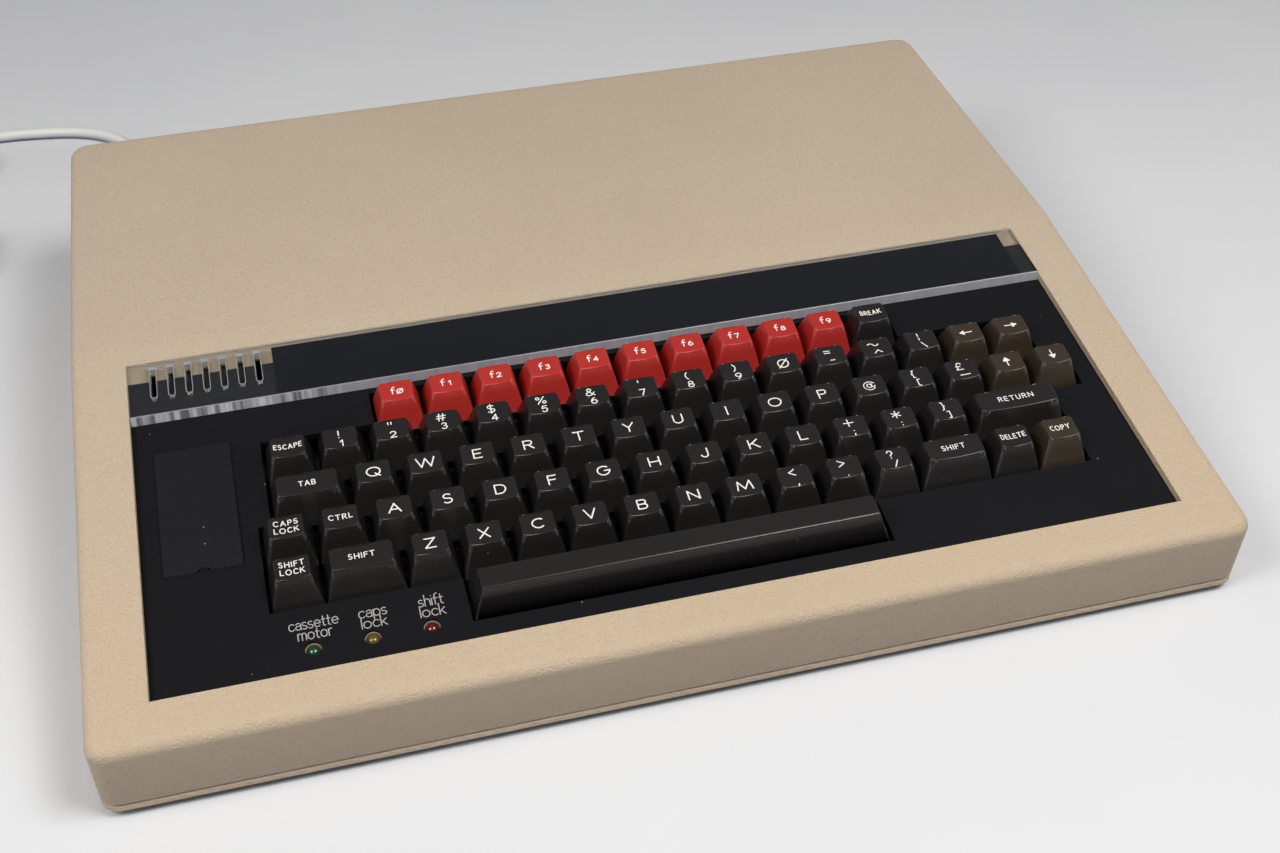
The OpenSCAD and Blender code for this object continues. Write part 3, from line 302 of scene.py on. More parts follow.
# %% Dust specks
SPECK_R = 0.075
dust_tree, given, end = start_group("dust_specks", {"Scale": 260.0, "Amount": 0.5}, ["Mask"])
values = {"Vector": position(dust_tree), "Scale": given["Scale"], "Randomness": 1.0}
cells = add_node(dust_tree, "TexVoronoi", values, feature="F1")
tone = add_node(dust_tree, "SeparateColor", {"Color": cells["Color"]})
speck_r = calc(dust_tree, "MULTIPLY", tone["Red"], SPECK_R)
near = calc(dust_tree, "LESS_THAN", cells["Distance"], speck_r)
chosen = calc(dust_tree, "LESS_THAN", tone["Green"], given["Amount"])
set_inputs(dust_tree, end, {"Mask": calc(dust_tree, "MULTIPLY", near, chosen)})
print("group", dust_tree.name)

# %% Slow shade
shades = {"Clean": (0.8, 0.8, 0.8, 1), "Aged": (0.7, 0.7, 0.7, 1), "Scale": 9.0}
shade_tree, given, end = start_group("aged_shade", shades, ["Color"])
slow = grade(shade_tree, noise(shade_tree, given["Scale"], 4.0, 0.6), 0.35, 0.68)
set_inputs(shade_tree, end, {"Color": mixed(shade_tree, slow, given["Clean"], given["Aged"])})
print("group", shade_tree.name)

# %% Worn edges and painted edge highlights
wear_and_highlight_tree, given, end = start_group("worn_and_highlit_edges", {"Start": 0.56, "Scale": 400.0}, ["Mask"])
form = add_node(wear_and_highlight_tree, "NewGeometry", {})
edge = calc(wear_and_highlight_tree, "SUBTRACT", form["Pointiness"], given["Start"])
edge = calc(wear_and_highlight_tree, "MULTIPLY", edge, 12.0, clamp=True)
patchy = grade(wear_and_highlight_tree, noise(wear_and_highlight_tree, given["Scale"], 3.0), 0.35, 0.65)
set_inputs(wear_and_highlight_tree, end, {"Mask": calc(wear_and_highlight_tree, "MULTIPLY", edge, patchy)})
print("group", wear_and_highlight_tree.name)

# %% [markdown]
# ## Finishes
#
# One helper wires the four effects into a Principled shader, and each material then
# says only what is its own: two close shades of its colour, how deep and how fine its
# grain is, how much painted shade its grain's pits take, and how much dust and pale
# edge it carries, the pale edge being wear and on key caps a painted highlight.


# %% Finish helper
DUST, SHADE_SCALE, EDGE_START, BUMP, GLOSS_SPREAD = srgb(150, 148, 142), 11.0, 0.53, 0.6, (0.06, -0.05)


def new_material(name, values):
    """A material, its node tree, and its Principled shader with some inputs set."""
    material = bpy.data.materials.new(name)
    material.use_nodes = True
    tree = material.node_tree
    shader = tree.nodes["Principled BSDF"]
    set_inputs(tree, shader, values)
    return material, tree, shader


def lay_over(tree, factor, colour):
    """Mixes a colour over the colour that a material has."""
    base = tree.nodes["Principled BSDF"].inputs["Base Color"]
    tree.links.new(mixed(tree, factor, base.links[0].from_socket, colour), base)


def finish(name, clean, aged, rough, grain=(900.0, 0.05), dust=0.0, wear_and_highlight=0.0, metal=0.0, pit_shade=0.0,
           coat=0.0, shine=0.5):
    """Plastic, rubber or metal with grain, dust, pale edges and slow changes of tint; the grain's pits are
    painted shade, and pale edges are wear and, on key caps, a painted highlight.
    """
    constants = {"Metallic": metal, "Specular IOR Level": shine, "Coat Weight": coat, "Coat Roughness": 0.2}
    material, tree, shader = new_material(name, constants)

    def effect(group, **values):
        return add_node(tree, "Group", values, node_tree=group)

    colour = effect(shade_tree, Clean=srgb(*clean), Aged=srgb(*aged), Scale=SHADE_SCALE)["Color"]
    texture = effect(grain_tree, Scale=grain[0])
    # Painted shade: the pits of the grain are painted darker, as grazing light shades them
    if pit_shade:
        dark = tuple(c * (1 - pit_shade) for c in srgb(*aged)[:3]) + (1.0,)
        colour = mixed(tree, texture["Pit shade"], colour, dark)
    # Pale edges: wear, and on the key caps a painted highlight along rims and corners
    if wear_and_highlight:
        pale = tuple(min(1.0, c + wear_and_highlight) for c in srgb(*clean)[:3]) + (1.0,)
        colour = mixed(tree, effect(wear_and_highlight_tree, Start=EDGE_START)["Mask"], colour, pale)
    if dust:
        colour = mixed(tree, effect(dust_tree, Amount=dust)["Mask"], colour, DUST)
    relief = {"Strength": BUMP, "Distance": grain[1] * MM, "Height": texture["Height"]}
    duller, glossier = (rough + change for change in GLOSS_SPREAD)
    set_inputs(tree, shader, {
        "Base Color": colour,
        "Roughness": grade(tree, texture["Height"], 0.0, 1.0, duller, glossier),
        "Normal": add_node(tree, "Bump", relief)["Normal"],
    })
    return material


# %% Plastics and metals
case_cream = finish(
    "case_cream", (213, 194, 171), (208, 189, 165), 0.52, (1250, 0.95), 0.02, 0.02, pit_shade=0.15, shine=0.4)
surround_black = finish("surround_black", (17, 17, 21), (20, 20, 24), 0.62, (1500, 0.03), 0.22, shine=0.15)
cover_black = finish("cover_black", (18, 18, 21), (21, 21, 24), 0.5, (1300, 0.04), 0.2, shine=0.36)
print_dark = finish("print_dark", (4, 5, 14), (6, 7, 16), 0.6, (1200, 0.01), 0.1, shine=0.0)
# The key caps' pale edges are partly wear and partly a painted highlight along rims and corners
key_black = finish("key_black", (33, 30, 30), (37, 33, 34), 0.24, (2400, 0.003), 0.06, 0.02)
key_red = finish("key_red", (180, 49, 43), (174, 44, 40), 0.3, (2400, 0.003), 0.03, 0.1)
key_brown = finish("key_brown", (61, 52, 41), (56, 47, 37), 0.3, (2400, 0.003), 0.05, 0.06)
# The ledge under the clear strip: the case's cream painted darker, as painted shade
ledge_cream_painted_shade = finish("ledge_cream_painted_shade", (146, 131, 108), (138, 124, 102), 0.62, (1500, 0.09))
legend_white = finish("legend_white", (246, 243, 236), (240, 237, 229), 0.5, (900, 0.005))
legend_grey = finish("legend_grey", (178, 176, 172), (170, 168, 164), 0.55, (900, 0.005))
switch_plastic = finish("switch_plastic", (60, 58, 56), (54, 52, 50), 0.5, (700, 0.02))
keyboard_green = finish("keyboard_green", (16, 24, 18), (12, 19, 14), 0.5, (500, 0.02))
circuit_board = finish("circuit_board", (44, 74, 46), (38, 66, 42), 0.35, (500, 0.02), coat=0.4)
chip_plastic = finish("chip_plastic", (34, 34, 35), (40, 40, 41), 0.6, (1400, 0.03))
heatsink_black = finish("heatsink_black", (26, 26, 27), (32, 32, 33), 0.45, (900, 0.02), metal=0.5)
supply_cream = finish("supply_cream", (196, 184, 162), (186, 173, 150), 0.55)
switch_black = finish("switch_black", (28, 28, 29), (33, 33, 34), 0.35, (900, 0.02), 0.1)
foot_rubber = finish("foot_rubber", (40, 39, 38), (52, 50, 48), 0.85, (600, 0.08), 0.3)
socket_metal = finish("socket_metal", (190, 190, 188), (170, 169, 165), 0.28, (500, 0.01), metal=1.0)
socket_plastic = finish("socket_plastic", (30, 30, 31), (36, 36, 37), 0.45, (900, 0.02), 0.1)
screw_steel = finish("screw_steel", (176, 176, 174), (150, 149, 146), 0.3, (700, 0.02), metal=1.0)
ribbon_grey = finish("ribbon_grey", (146, 148, 151), (136, 138, 141), 0.5, (700, 0.02))
speaker_metal = finish("speaker_metal", (62, 52, 44), (48, 40, 34), 0.7, (400, 0.05))
cord_white = finish("cord_white", (242, 241, 239), (234, 232, 228), 0.42, (500, 0.02), 0.03)
plug_white = finish("plug_white", (225, 221, 212), (216, 211, 200), 0.35, (800, 0.02), 0.03)
plug_brass = finish("plug_brass", (196, 164, 98), (178, 146, 84), 0.28, (400, 0.01), metal=1.0)
contact_gold = finish("contact_gold", (212, 180, 104), (196, 160, 88), 0.25, (400, 0.01), metal=1.0)

# Towards the front the cream turns lighter and warmer: partly yellowing, partly painted light on the front
# band
tree = case_cream.node_tree
split = add_node(tree, "SeparateXYZ", {0: position(tree)})
lay_over(tree, grade(tree, split["Y"], 0.04, -0.14, 0.0, 0.42), srgb(222, 196, 160))
print("materials", len(bpy.data.materials))

# %% [markdown]
# ## Case
#
# The upper case is a wedge with every outer edge rounded, moulded with an even wall.
# The straight way to make it is the way a toolmaker would: start from the sharp
# wedge, round the upright corners, round the rim, make it hollow, and then cut the
# keyboard opening, the rear notch and the vents. A last small bevel breaks the cut
# edges so that they catch light.


# %% Mesh helpers
def mesh_object(name, bm, material, smooth_angle=30):
    """Turns a bmesh into an object, smooth except where faces turn by more than an angle."""
    bmesh.ops.recalc_face_normals(bm, faces=bm.faces)
    limit = math.radians(smooth_angle)
    for face in bm.faces:
        face.smooth = True
    for edge in bm.edges:
        edge.smooth = len(edge.link_faces) != 2 or edge.calc_face_angle(0) < limit
    obj = new_object(name, bm)
    obj.data.materials.append(material)
    return obj


def slot_of(node):
    """The material slot of a CAD node."""
    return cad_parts[node].data.materials[0].name


def settle(obj, body, slot_name, *nodes):
    """Lets a piece ride on a body and stand for CAD nodes. The slot name is not used."""
    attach(obj, body)
    if nodes:
        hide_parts(*nodes)
    return obj


def apply_modifiers(obj):
    """Makes the modified shape the object's own mesh."""
    depsgraph = bpy.context.evaluated_depsgraph_get()
    mesh = bpy.data.meshes.new_from_object(obj.evaluated_get(depsgraph))
    obj.modifiers.clear()
    obj.data = mesh
    return obj


def add_ring(bm, place, points):
    """Vertices at points in millimetres, placed by a matrix."""
    return [bm.verts.new(place @ mm(*p)) for p in points]


def arc(x, y, r, start, stop, step):
    """Points (x, y) on a circle, at a range of angles in degrees."""
    turns = [math.radians(a) for a in range(start, stop, step)]
    return [(x + r * math.cos(a), y + r * math.sin(a)) for a in turns]


def box(bm, low, high, matrix=Matrix.Identity(4)):
    """Adds a box between two corners in millimetres."""
    v = add_ring(bm, matrix, itertools.product(*zip(low, high)))
    for f in ((0, 1, 3, 2), (4, 6, 7, 5), (0, 4, 5, 1), (2, 3, 7, 6), (0, 2, 6, 4), (1, 5, 7, 3)):
        bm.faces.new([v[i] for i in f])


def cylinder(bm, matrix, r, length, sides):
    """Adds a cylinder about a matrix's own z axis. Millimetres."""
    bmesh.ops.create_cone(bm, cap_ends=True, segments=sides, radius1=r * MM, radius2=r * MM,
                          depth=length * MM, matrix=matrix)


def hollow(obj, wall, even=False):
    """Turns a skin into a wall, grown inwards."""
    shell = obj.modifiers.new("wall", "SOLIDIFY")
    shell.thickness, shell.offset, shell.use_even_offset = wall * MM, -1, even
    return apply_modifiers(obj)


def cut(obj, bm):
    """Takes the solids in a bmesh away from an object."""
    tool = mesh_object("cutting_tool", bm, case_cream)
    boolean = obj.modifiers.new("cut", "BOOLEAN")
    boolean.object, boolean.operation, boolean.solver = tool, "DIFFERENCE", "EXACT"
    apply_modifiers(obj)
    bpy.data.objects.remove(tool)
    return obj


def soften(obj, width, segments=2, angle=35):
    """Small round on every edge that turns by more than an angle, widest where there is room."""
    bevel = obj.modifiers.new("soften", "BEVEL")
    bevel.width, bevel.segments, bevel.limit_method = width * MM, segments, "ANGLE"
    bevel.angle_limit, bevel.use_clamp_overlap = math.radians(angle), True
    bevel.miter_outer = "MITER_ARC"
    bevel.harden_normals = True
    return apply_modifiers(obj)


# %% Sharp wedge
FRONT_LEAN, SIDE_DRAFT = math.tan(math.radians(7)), math.tan(math.radians(1))
TRAY_TOP, CASE_FOOT = 5.8, 6.55
NOSE_S = 0.2116  # where the front wall's plane meets the slope's
fold = on_slope(0, FOLD_S, 0) / MM
rim_front = on_slope(0, 0, -EDGE_R) / MM
nose = on_slope(0, NOSE_S, 0) / MM
rear_z = fold.z + (CASE_D / 2 - fold.y) * math.tan(REAR_ANGLE)
foot_y = rim_front.y + (rim_front.z - CASE_FOOT) * FRONT_LEAN
outline = [
    (foot_y, CASE_FOOT), (nose.y, nose.z), (fold.y, fold.z), (CASE_D / 2, rear_z), (CASE_D / 2, CASE_FOOT),
]


def side_x(z):
    """Half the width of the case at a height, since its sides lean in."""
    return CASE_W / 2 - (z - TRAY_TOP) * SIDE_DRAFT


wedge = bmesh.new()
sides = [[wedge.verts.new(mm(side * side_x(z), y, z)) for y, z in outline] for side in (-1, 1)]
wedge.faces.new(sides[0])
wedge.faces.new(sides[1][::-1])
for i in range(4):
    wedge.faces.new((sides[0][i + 1], sides[0][i], sides[1][i], sides[1][i + 1]))
bmesh.ops.recalc_face_normals(wedge, faces=wedge.faces)
print("fold at", tuple(round(c, 1) for c in fold), "rear height", round(rear_z, 2))

# %% Rounded corners, rim and fold
FRONT_CORNER_R, REAR_CORNER_R, RIM_ROUND, FOLD_ROUND = 7.0, 8.0, 4.45, 2.2


def round_edges(bm, wanted, width, segments):
    """Rounds the edges that a test picks, and gives their number."""
    edges = [e for e in bm.edges if wanted(e)]
    bmesh.ops.bevel(bm, geom=edges, offset=width * MM, segments=segments, profile=0.5,
                    affect="EDGES", clamp_overlap=False)
    return len(edges)


def upright_at(y_sign):
    """A test for the upright corner edges at the front or the rear."""
    def test(e):
        a, b = (v.co for v in e.verts)
        upright = abs(a.x - b.x) < 0.002 and abs(a.z - b.z) > 0.02
        return upright and a.y * y_sign > 0.1 and b.y * y_sign > 0.1
    return test


def is_rim(e):
    """An edge between a wall and an upper face."""
    if len(e.link_faces) != 2:
        return False
    up = sorted(f.normal.z for f in e.link_faces)
    return up[0] < 0.5 < up[1]


def is_fold(e):
    """The edge between the slope and the rear flat."""
    return all(abs(v.co.y - fold.y * MM) < 0.0005 for v in e.verts) and len(e.link_faces) == 2


round_edges(wedge, upright_at(-1), FRONT_CORNER_R, 8)
round_edges(wedge, upright_at(1), REAR_CORNER_R, 8)
round_edges(wedge, is_rim, RIM_ROUND, 6)
round_edges(wedge, is_fold, FOLD_ROUND, 3)
upper_case = hollow(mesh_object("upper_case_shell", wedge, case_cream, 40), WALL, even=True)
print("case shell faces", len(upper_case.data.polygons))

# %% Opening, ledge, notch and vents
OPEN_W, OPEN_S, OPEN_END, LEDGE_S = 369.0, 17.5, 174.5, 165.5
SLOT_X, SLOT_PITCH, SLOT_W, SLOT_S, SLOT_L, SLOTS = -174.7, 6.6, 2.2, 154.3, 16.6, 7
VENTS, VENT_PITCH, VENT_W = 38, 8, 3.4
NOTCH_X, REAR_IN, REAR_OUT = CASE_W / 2 - 9.5, CASE_D / 2 - 6, CASE_D / 2 + 3
FRONT_SCREW_X, REAR_SCREW_X = 194.5, 122.5
cutters = bmesh.new()
box(cutters, (-OPEN_W / 2, OPEN_S, -8), (OPEN_W / 2, OPEN_END, 4), slope)
box(cutters, (-NOTCH_X, REAR_IN, 0), (NOTCH_X, REAR_OUT, 50))
for i in range(VENTS):
    x = (i - (VENTS - 1) / 2) * VENT_PITCH
    box(cutters, (x - VENT_W / 2, REAR_IN, 55), (x + VENT_W / 2, REAR_OUT, 67))
cut(upper_case, cutters)
soften(upper_case, 0.45)
ledge = bmesh.new()
box(ledge, (-OPEN_W / 2 - 4.5, LEDGE_S, -5.2), (OPEN_W / 2 + 4.5, OPEN_END + 4, -3.0), slope)
slots = bmesh.new()
for i in range(SLOTS):
    x = SLOT_X + i * SLOT_PITCH
    box(slots, (x - SLOT_W / 2, SLOT_S, -9), (x + SLOT_W / 2, SLOT_S + SLOT_L, 5), slope)
# The ledge takes the darker cream, painted shade under the strip
strip_ledge = cut(mesh_object("strip_ledge", ledge, ledge_cream_painted_shade), slots)
posts = bmesh.new()
for side in (-1, 1):
    cylinder(posts, Matrix.Translation(mm(side * FRONT_SCREW_X, -150, 18)), 4, 24, 32)
    box(posts, (side * REAR_SCREW_X - 6, 148.3, 36), (side * REAR_SCREW_X + 6, 160.3, 70))
case_posts = mesh_object("case_posts", posts, case_cream)
settle(upper_case, "case", "case_cream", "upper_case")
settle(strip_ledge, "case", "case_cream")
settle(case_posts, "case", "case_cream")
print("upper case faces", len(upper_case.data.polygons))

# %% [markdown]
# ## Key caps
#
# A cap is a lofted shape: rounded rectangles that shrink and lean back as they rise,
# a small round where the walls turn into the top, and a top dished from side to side
# like a shallow trough. One function lofts any of them, because a wide key is the same
# section pulled out sideways. Rings of vertices make the loft exact where it matters,
# and every ring has the same number of points, so the faces are plain quads.

# %% Cap sections
PITCH, KEY_H, SPACE_S, SPACE_PLACE = 19.05, 12.6, 36.5, 5.75
ROW_TOP = (5.9, 5.7, 5.7, 6.2, 6.7, 6.8)
DISH, RIM_R, CAP_WALL, SWITCH_TOP, STEM_DIP = 0.9, 0.45, 1.4, -11.1, 5
SIDE_STEPS = (0.03, 0.1, 0.22, 0.36, 0.5, 0.64, 0.78, 0.9, 0.97)
# height, half width, front, rear, corner radius of a one-pitch cap
SECTIONS = [
    (0.0, 9.05, -9.05, 9.05, 0.8), (2.3, 8.68, -8.02, 8.7, 0.9), (4.6, 8.2, -6.95, 8.2, 1.0),
    (7.2, 7.58, -5.95, 7.55, 1.1), (9.8, 6.85, -4.95, 6.75, 1.2), (11.8, 6.3, -4.17, 6.05, 1.3),
]
TOP_SECTION = (12.6, 6.05, -3.9, 5.8, 1.35)


def at_key(row, place):
    """The matrix of a cap, from its row and its place in the row in pitches."""
    x, s = (place - SPACE_PLACE) * PITCH, SPACE_S + (5 - row) * PITCH
    return slope @ Matrix.Translation(mm(x, s, ROW_TOP[row] - KEY_H))


def rounded_ring(half_w, front, rear, r):
    """Points (x, y) round a rectangle with rounded corners, anticlockwise from the front left."""
    corners = [(-half_w + r, front + r, 180), (half_w - r, front + r, 270),
               (half_w - r, rear - r, 0), (-half_w + r, rear - r, 90)]
    ring = []
    for i, (x, y, start) in enumerate(corners):
        ring += arc(x, y, r, start, start + 91, 18)
        next_x, next_y, turn = corners[(i + 1) % 4]
        (end_x, end_y), (x, y) = arc(next_x, next_y, r, turn, turn + 1, 1)[0], ring[-1]
        ring += [(x + (end_x - x) * t, y + (end_y - y) * t) for t in SIDE_STEPS]
    return ring


print("ring points", len(rounded_ring(6, -4, 6, 1.5)))


# %% Loft
def dish_drop(x, half):
    """How far the dished top lies below its side edges."""
    return DISH * max(0.0, 1 - (x / half) ** 2)


def loft_cap(bm, place, extra):
    """Adds a cap at a matrix. extra is the half width that it has beyond a one-pitch cap."""
    h, half, front, rear, r = TOP_SECTION
    half += extra
    rings = []
    for z, w, f, b, c in SECTIONS:
        rings.append(add_ring(bm, place, [(x, y, z) for x, y in rounded_ring(w + extra, f, b, c)]))
    for angle in (0, 22.5, 45, 67.5, 90):
        a = math.radians(angle)
        inset = RIM_R * (1 - math.cos(a))
        low = RIM_R * (1 - math.sin(a))
        ring = rounded_ring(half - inset, front + inset, rear - inset, max(r - inset, 0.3))
        rings.append(add_ring(bm, place, [(x, y, h - low - dish_drop(x, half)) for x, y in ring]))
    inner_f, inner_b = front + RIM_R, rear - RIM_R
    mid = (inner_f + inner_b) / 2
    ring = rounded_ring(half - RIM_R, inner_f, inner_b, r - RIM_R)
    for t in (0.75, 0.5, 0.25):
        points = [(x * t, mid + (y - mid) * t) for x, y in ring]
        rings.append(add_ring(bm, place, [(x, y, h - dish_drop(x, half)) for x, y in points]))
    for a, b in zip(rings, rings[1:]):
        bridge(bm, a, b)
    centre = bm.verts.new(place @ mm(0, mid, h - DISH))
    last = rings[-1]
    for i in range(len(last)):
        bm.faces.new((last[i], last[(i + 1) % len(last)], centre))
    z, w, f, b, c = SECTIONS[0]
    lip = rounded_ring(w + extra - CAP_WALL, f + CAP_WALL, b - CAP_WALL, 0.8)
    roof = rounded_ring(half - CAP_WALL / 2, front + CAP_WALL, rear - CAP_WALL, 0.8)
    inside = [add_ring(bm, place, [(x, y, 0) for x, y in lip]),
              add_ring(bm, place, [(x, y, KEY_H - 2.2) for x, y in roof])]
    bridge(bm, inside[0], rings[0])
    bridge(bm, inside[1], inside[0])
    bm.faces.new(inside[1][::-1])


def loft_stem(bm, place, row):
    """Adds the post under a cap, down into its switch."""
    foot = SWITCH_TOP - STEM_DIP - (ROW_TOP[row] - KEY_H)
    depth = KEY_H - 2 - foot
    cylinder(bm, place @ Matrix.Translation(mm(0, 0, foot + depth / 2)), 2, depth, 20)


# %% [markdown]
# The space bar has its own section: a sloping front, a rounded nose and a crowned top.
# It is that section pulled along x, with its two ends leaned in and then rounded like
# the caps' rims.


# %% Space bar
SPACE_HALF, SPACE_CUT, SPACE_LEAN = 4 * PITCH - 0.475, 4 * PITCH - 1.3, 3.9


def space_bar_mesh(place):
    """The bar as a closed skin, open below."""
    outline = [(-8.6, 0.0), (-5.4, 9.4), (-4.68, 11.5), (-4.6, 11.72), (-4.48, 12.1), (-4.25, 12.4)]
    outline += [(-3.9 + 1.08 * k, 12.6 + 0.12 * k * (8 - k) / 16 - 0.06 * k) for k in range(8)]
    outline += [(4.75, 12.14), (5.15, 11.88), (5.4, 11.4), (5.5, 11.1), (8.8, 0.0)]
    bm = bmesh.new()
    ends = []
    for side in (-1, 1):
        points = [(side * (SPACE_HALF - SPACE_LEAN * z / KEY_H), y, z) for y, z in outline]
        ends.append(add_ring(bm, place, points))
        bm.faces.new(ends[-1] if side < 0 else ends[-1][::-1])
    for i in range(len(outline) - 1):
        bm.faces.new((ends[0][i + 1], ends[0][i], ends[1][i], ends[1][i + 1]))
    # A cut near each end, parallel to it, keeps the long faces plain between the ends
    for side in (-1, 1):
        across = place.to_3x3() @ Vector((side * KEY_H, 0, SPACE_LEAN))
        bmesh.ops.bisect_plane(bm, geom=bm.verts[:] + bm.edges[:] + bm.faces[:],
                               plane_no=across.normalized(), plane_co=place @ mm(side * SPACE_CUT, 0, 0))
    caps = [f for f in bm.faces if len(f.verts) > 4]
    rim = [e for f in caps for e in f.edges if len(e.link_faces) == 2]
    bmesh.ops.bevel(bm, geom=rim, offset=RIM_R * MM, segments=3, profile=0.5, affect="EDGES",
                    clamp_overlap=True)
    return bm


# %% Keys in their places
# node, row, place, width in pitches, finish
single_keys = [
    ("key_break", 0, 11.25, 1, key_black), ("key_escape", 1, -1, 1, key_black),
    ("key_left", 1, 13, 1, key_brown), ("key_right", 1, 14, 1, key_brown),
    ("key_tab", 2, -0.75, 1.5, key_black), ("key_up", 2, 13.5, 1, key_brown),
    ("key_down", 2, 14.5, 1, key_brown), ("key_caps_lock", 3, -1.25, 1, key_black),
    ("key_ctrl", 3, -0.25, 1, key_black), ("key_return", 3, 13.25, 2, key_black),
    ("key_shift_lock", 4, -1.25, 1, key_black), ("key_shift_left", 4, 0, 1.5, key_black),
    ("key_shift_right", 4, 11.5, 1.5, key_black), ("key_delete", 4, 12.75, 1, key_black),
    ("key_copy", 4, 13.75, 1, key_brown),
] + [("key_f%d" % i, 0, 1.25 + i, 1, key_red) for i in range(10)]
key_rows = [("number_row_keys", 1, 0, 13), ("upper_letter_keys", 2, 0.5, 13),
            ("middle_letter_keys", 3, 0.75, 12), ("lower_letter_keys", 4, 1.25, 10)]


def caps_object(node, row, places, width, material):
    """One object with all the caps of a node, riding on that node's own body."""
    bm = bmesh.new()
    for place in places:
        loft_cap(bm, at_key(row, place), (width - 1) * PITCH / 2)
        loft_stem(bm, at_key(row, place), row)
    settle(mesh_object(node + "_caps", bm, material, 50), node, slot_of(node), node)


for node, row, place, width, material in single_keys:
    caps_object(node, row, [place], width, material)
for node, row, first, count in key_rows:
    caps_object(node, row, [first + i for i in range(count)], 1, key_black)
space_bar = mesh_object("space_bar_cap", space_bar_mesh(at_key(5, SPACE_PLACE)), key_black, 50)
settle(hollow(space_bar, CAP_WALL), "key_space", "key_black", "key_space")
stem = bmesh.new()
loft_stem(stem, at_key(5, SPACE_PLACE), 5)
settle(mesh_object("space_bar_stem", stem, key_black), "key_space", "key_black")
print("key pieces", len(single_keys) + len(key_rows) + 1)

# %% [markdown]
# ## Legends
#
# Key legends are moulded into the cap in a second colour, drawn by an engraving
# machine: every stroke has one width and round ends. A font with thick and thin
# strokes would look wrong, so the characters here are paths. A stroke is a list of
# points, and a token with six numbers is part of an ellipse (centre, radii, two
# angles). The paths become flat ribbons that follow the dish of the cap.

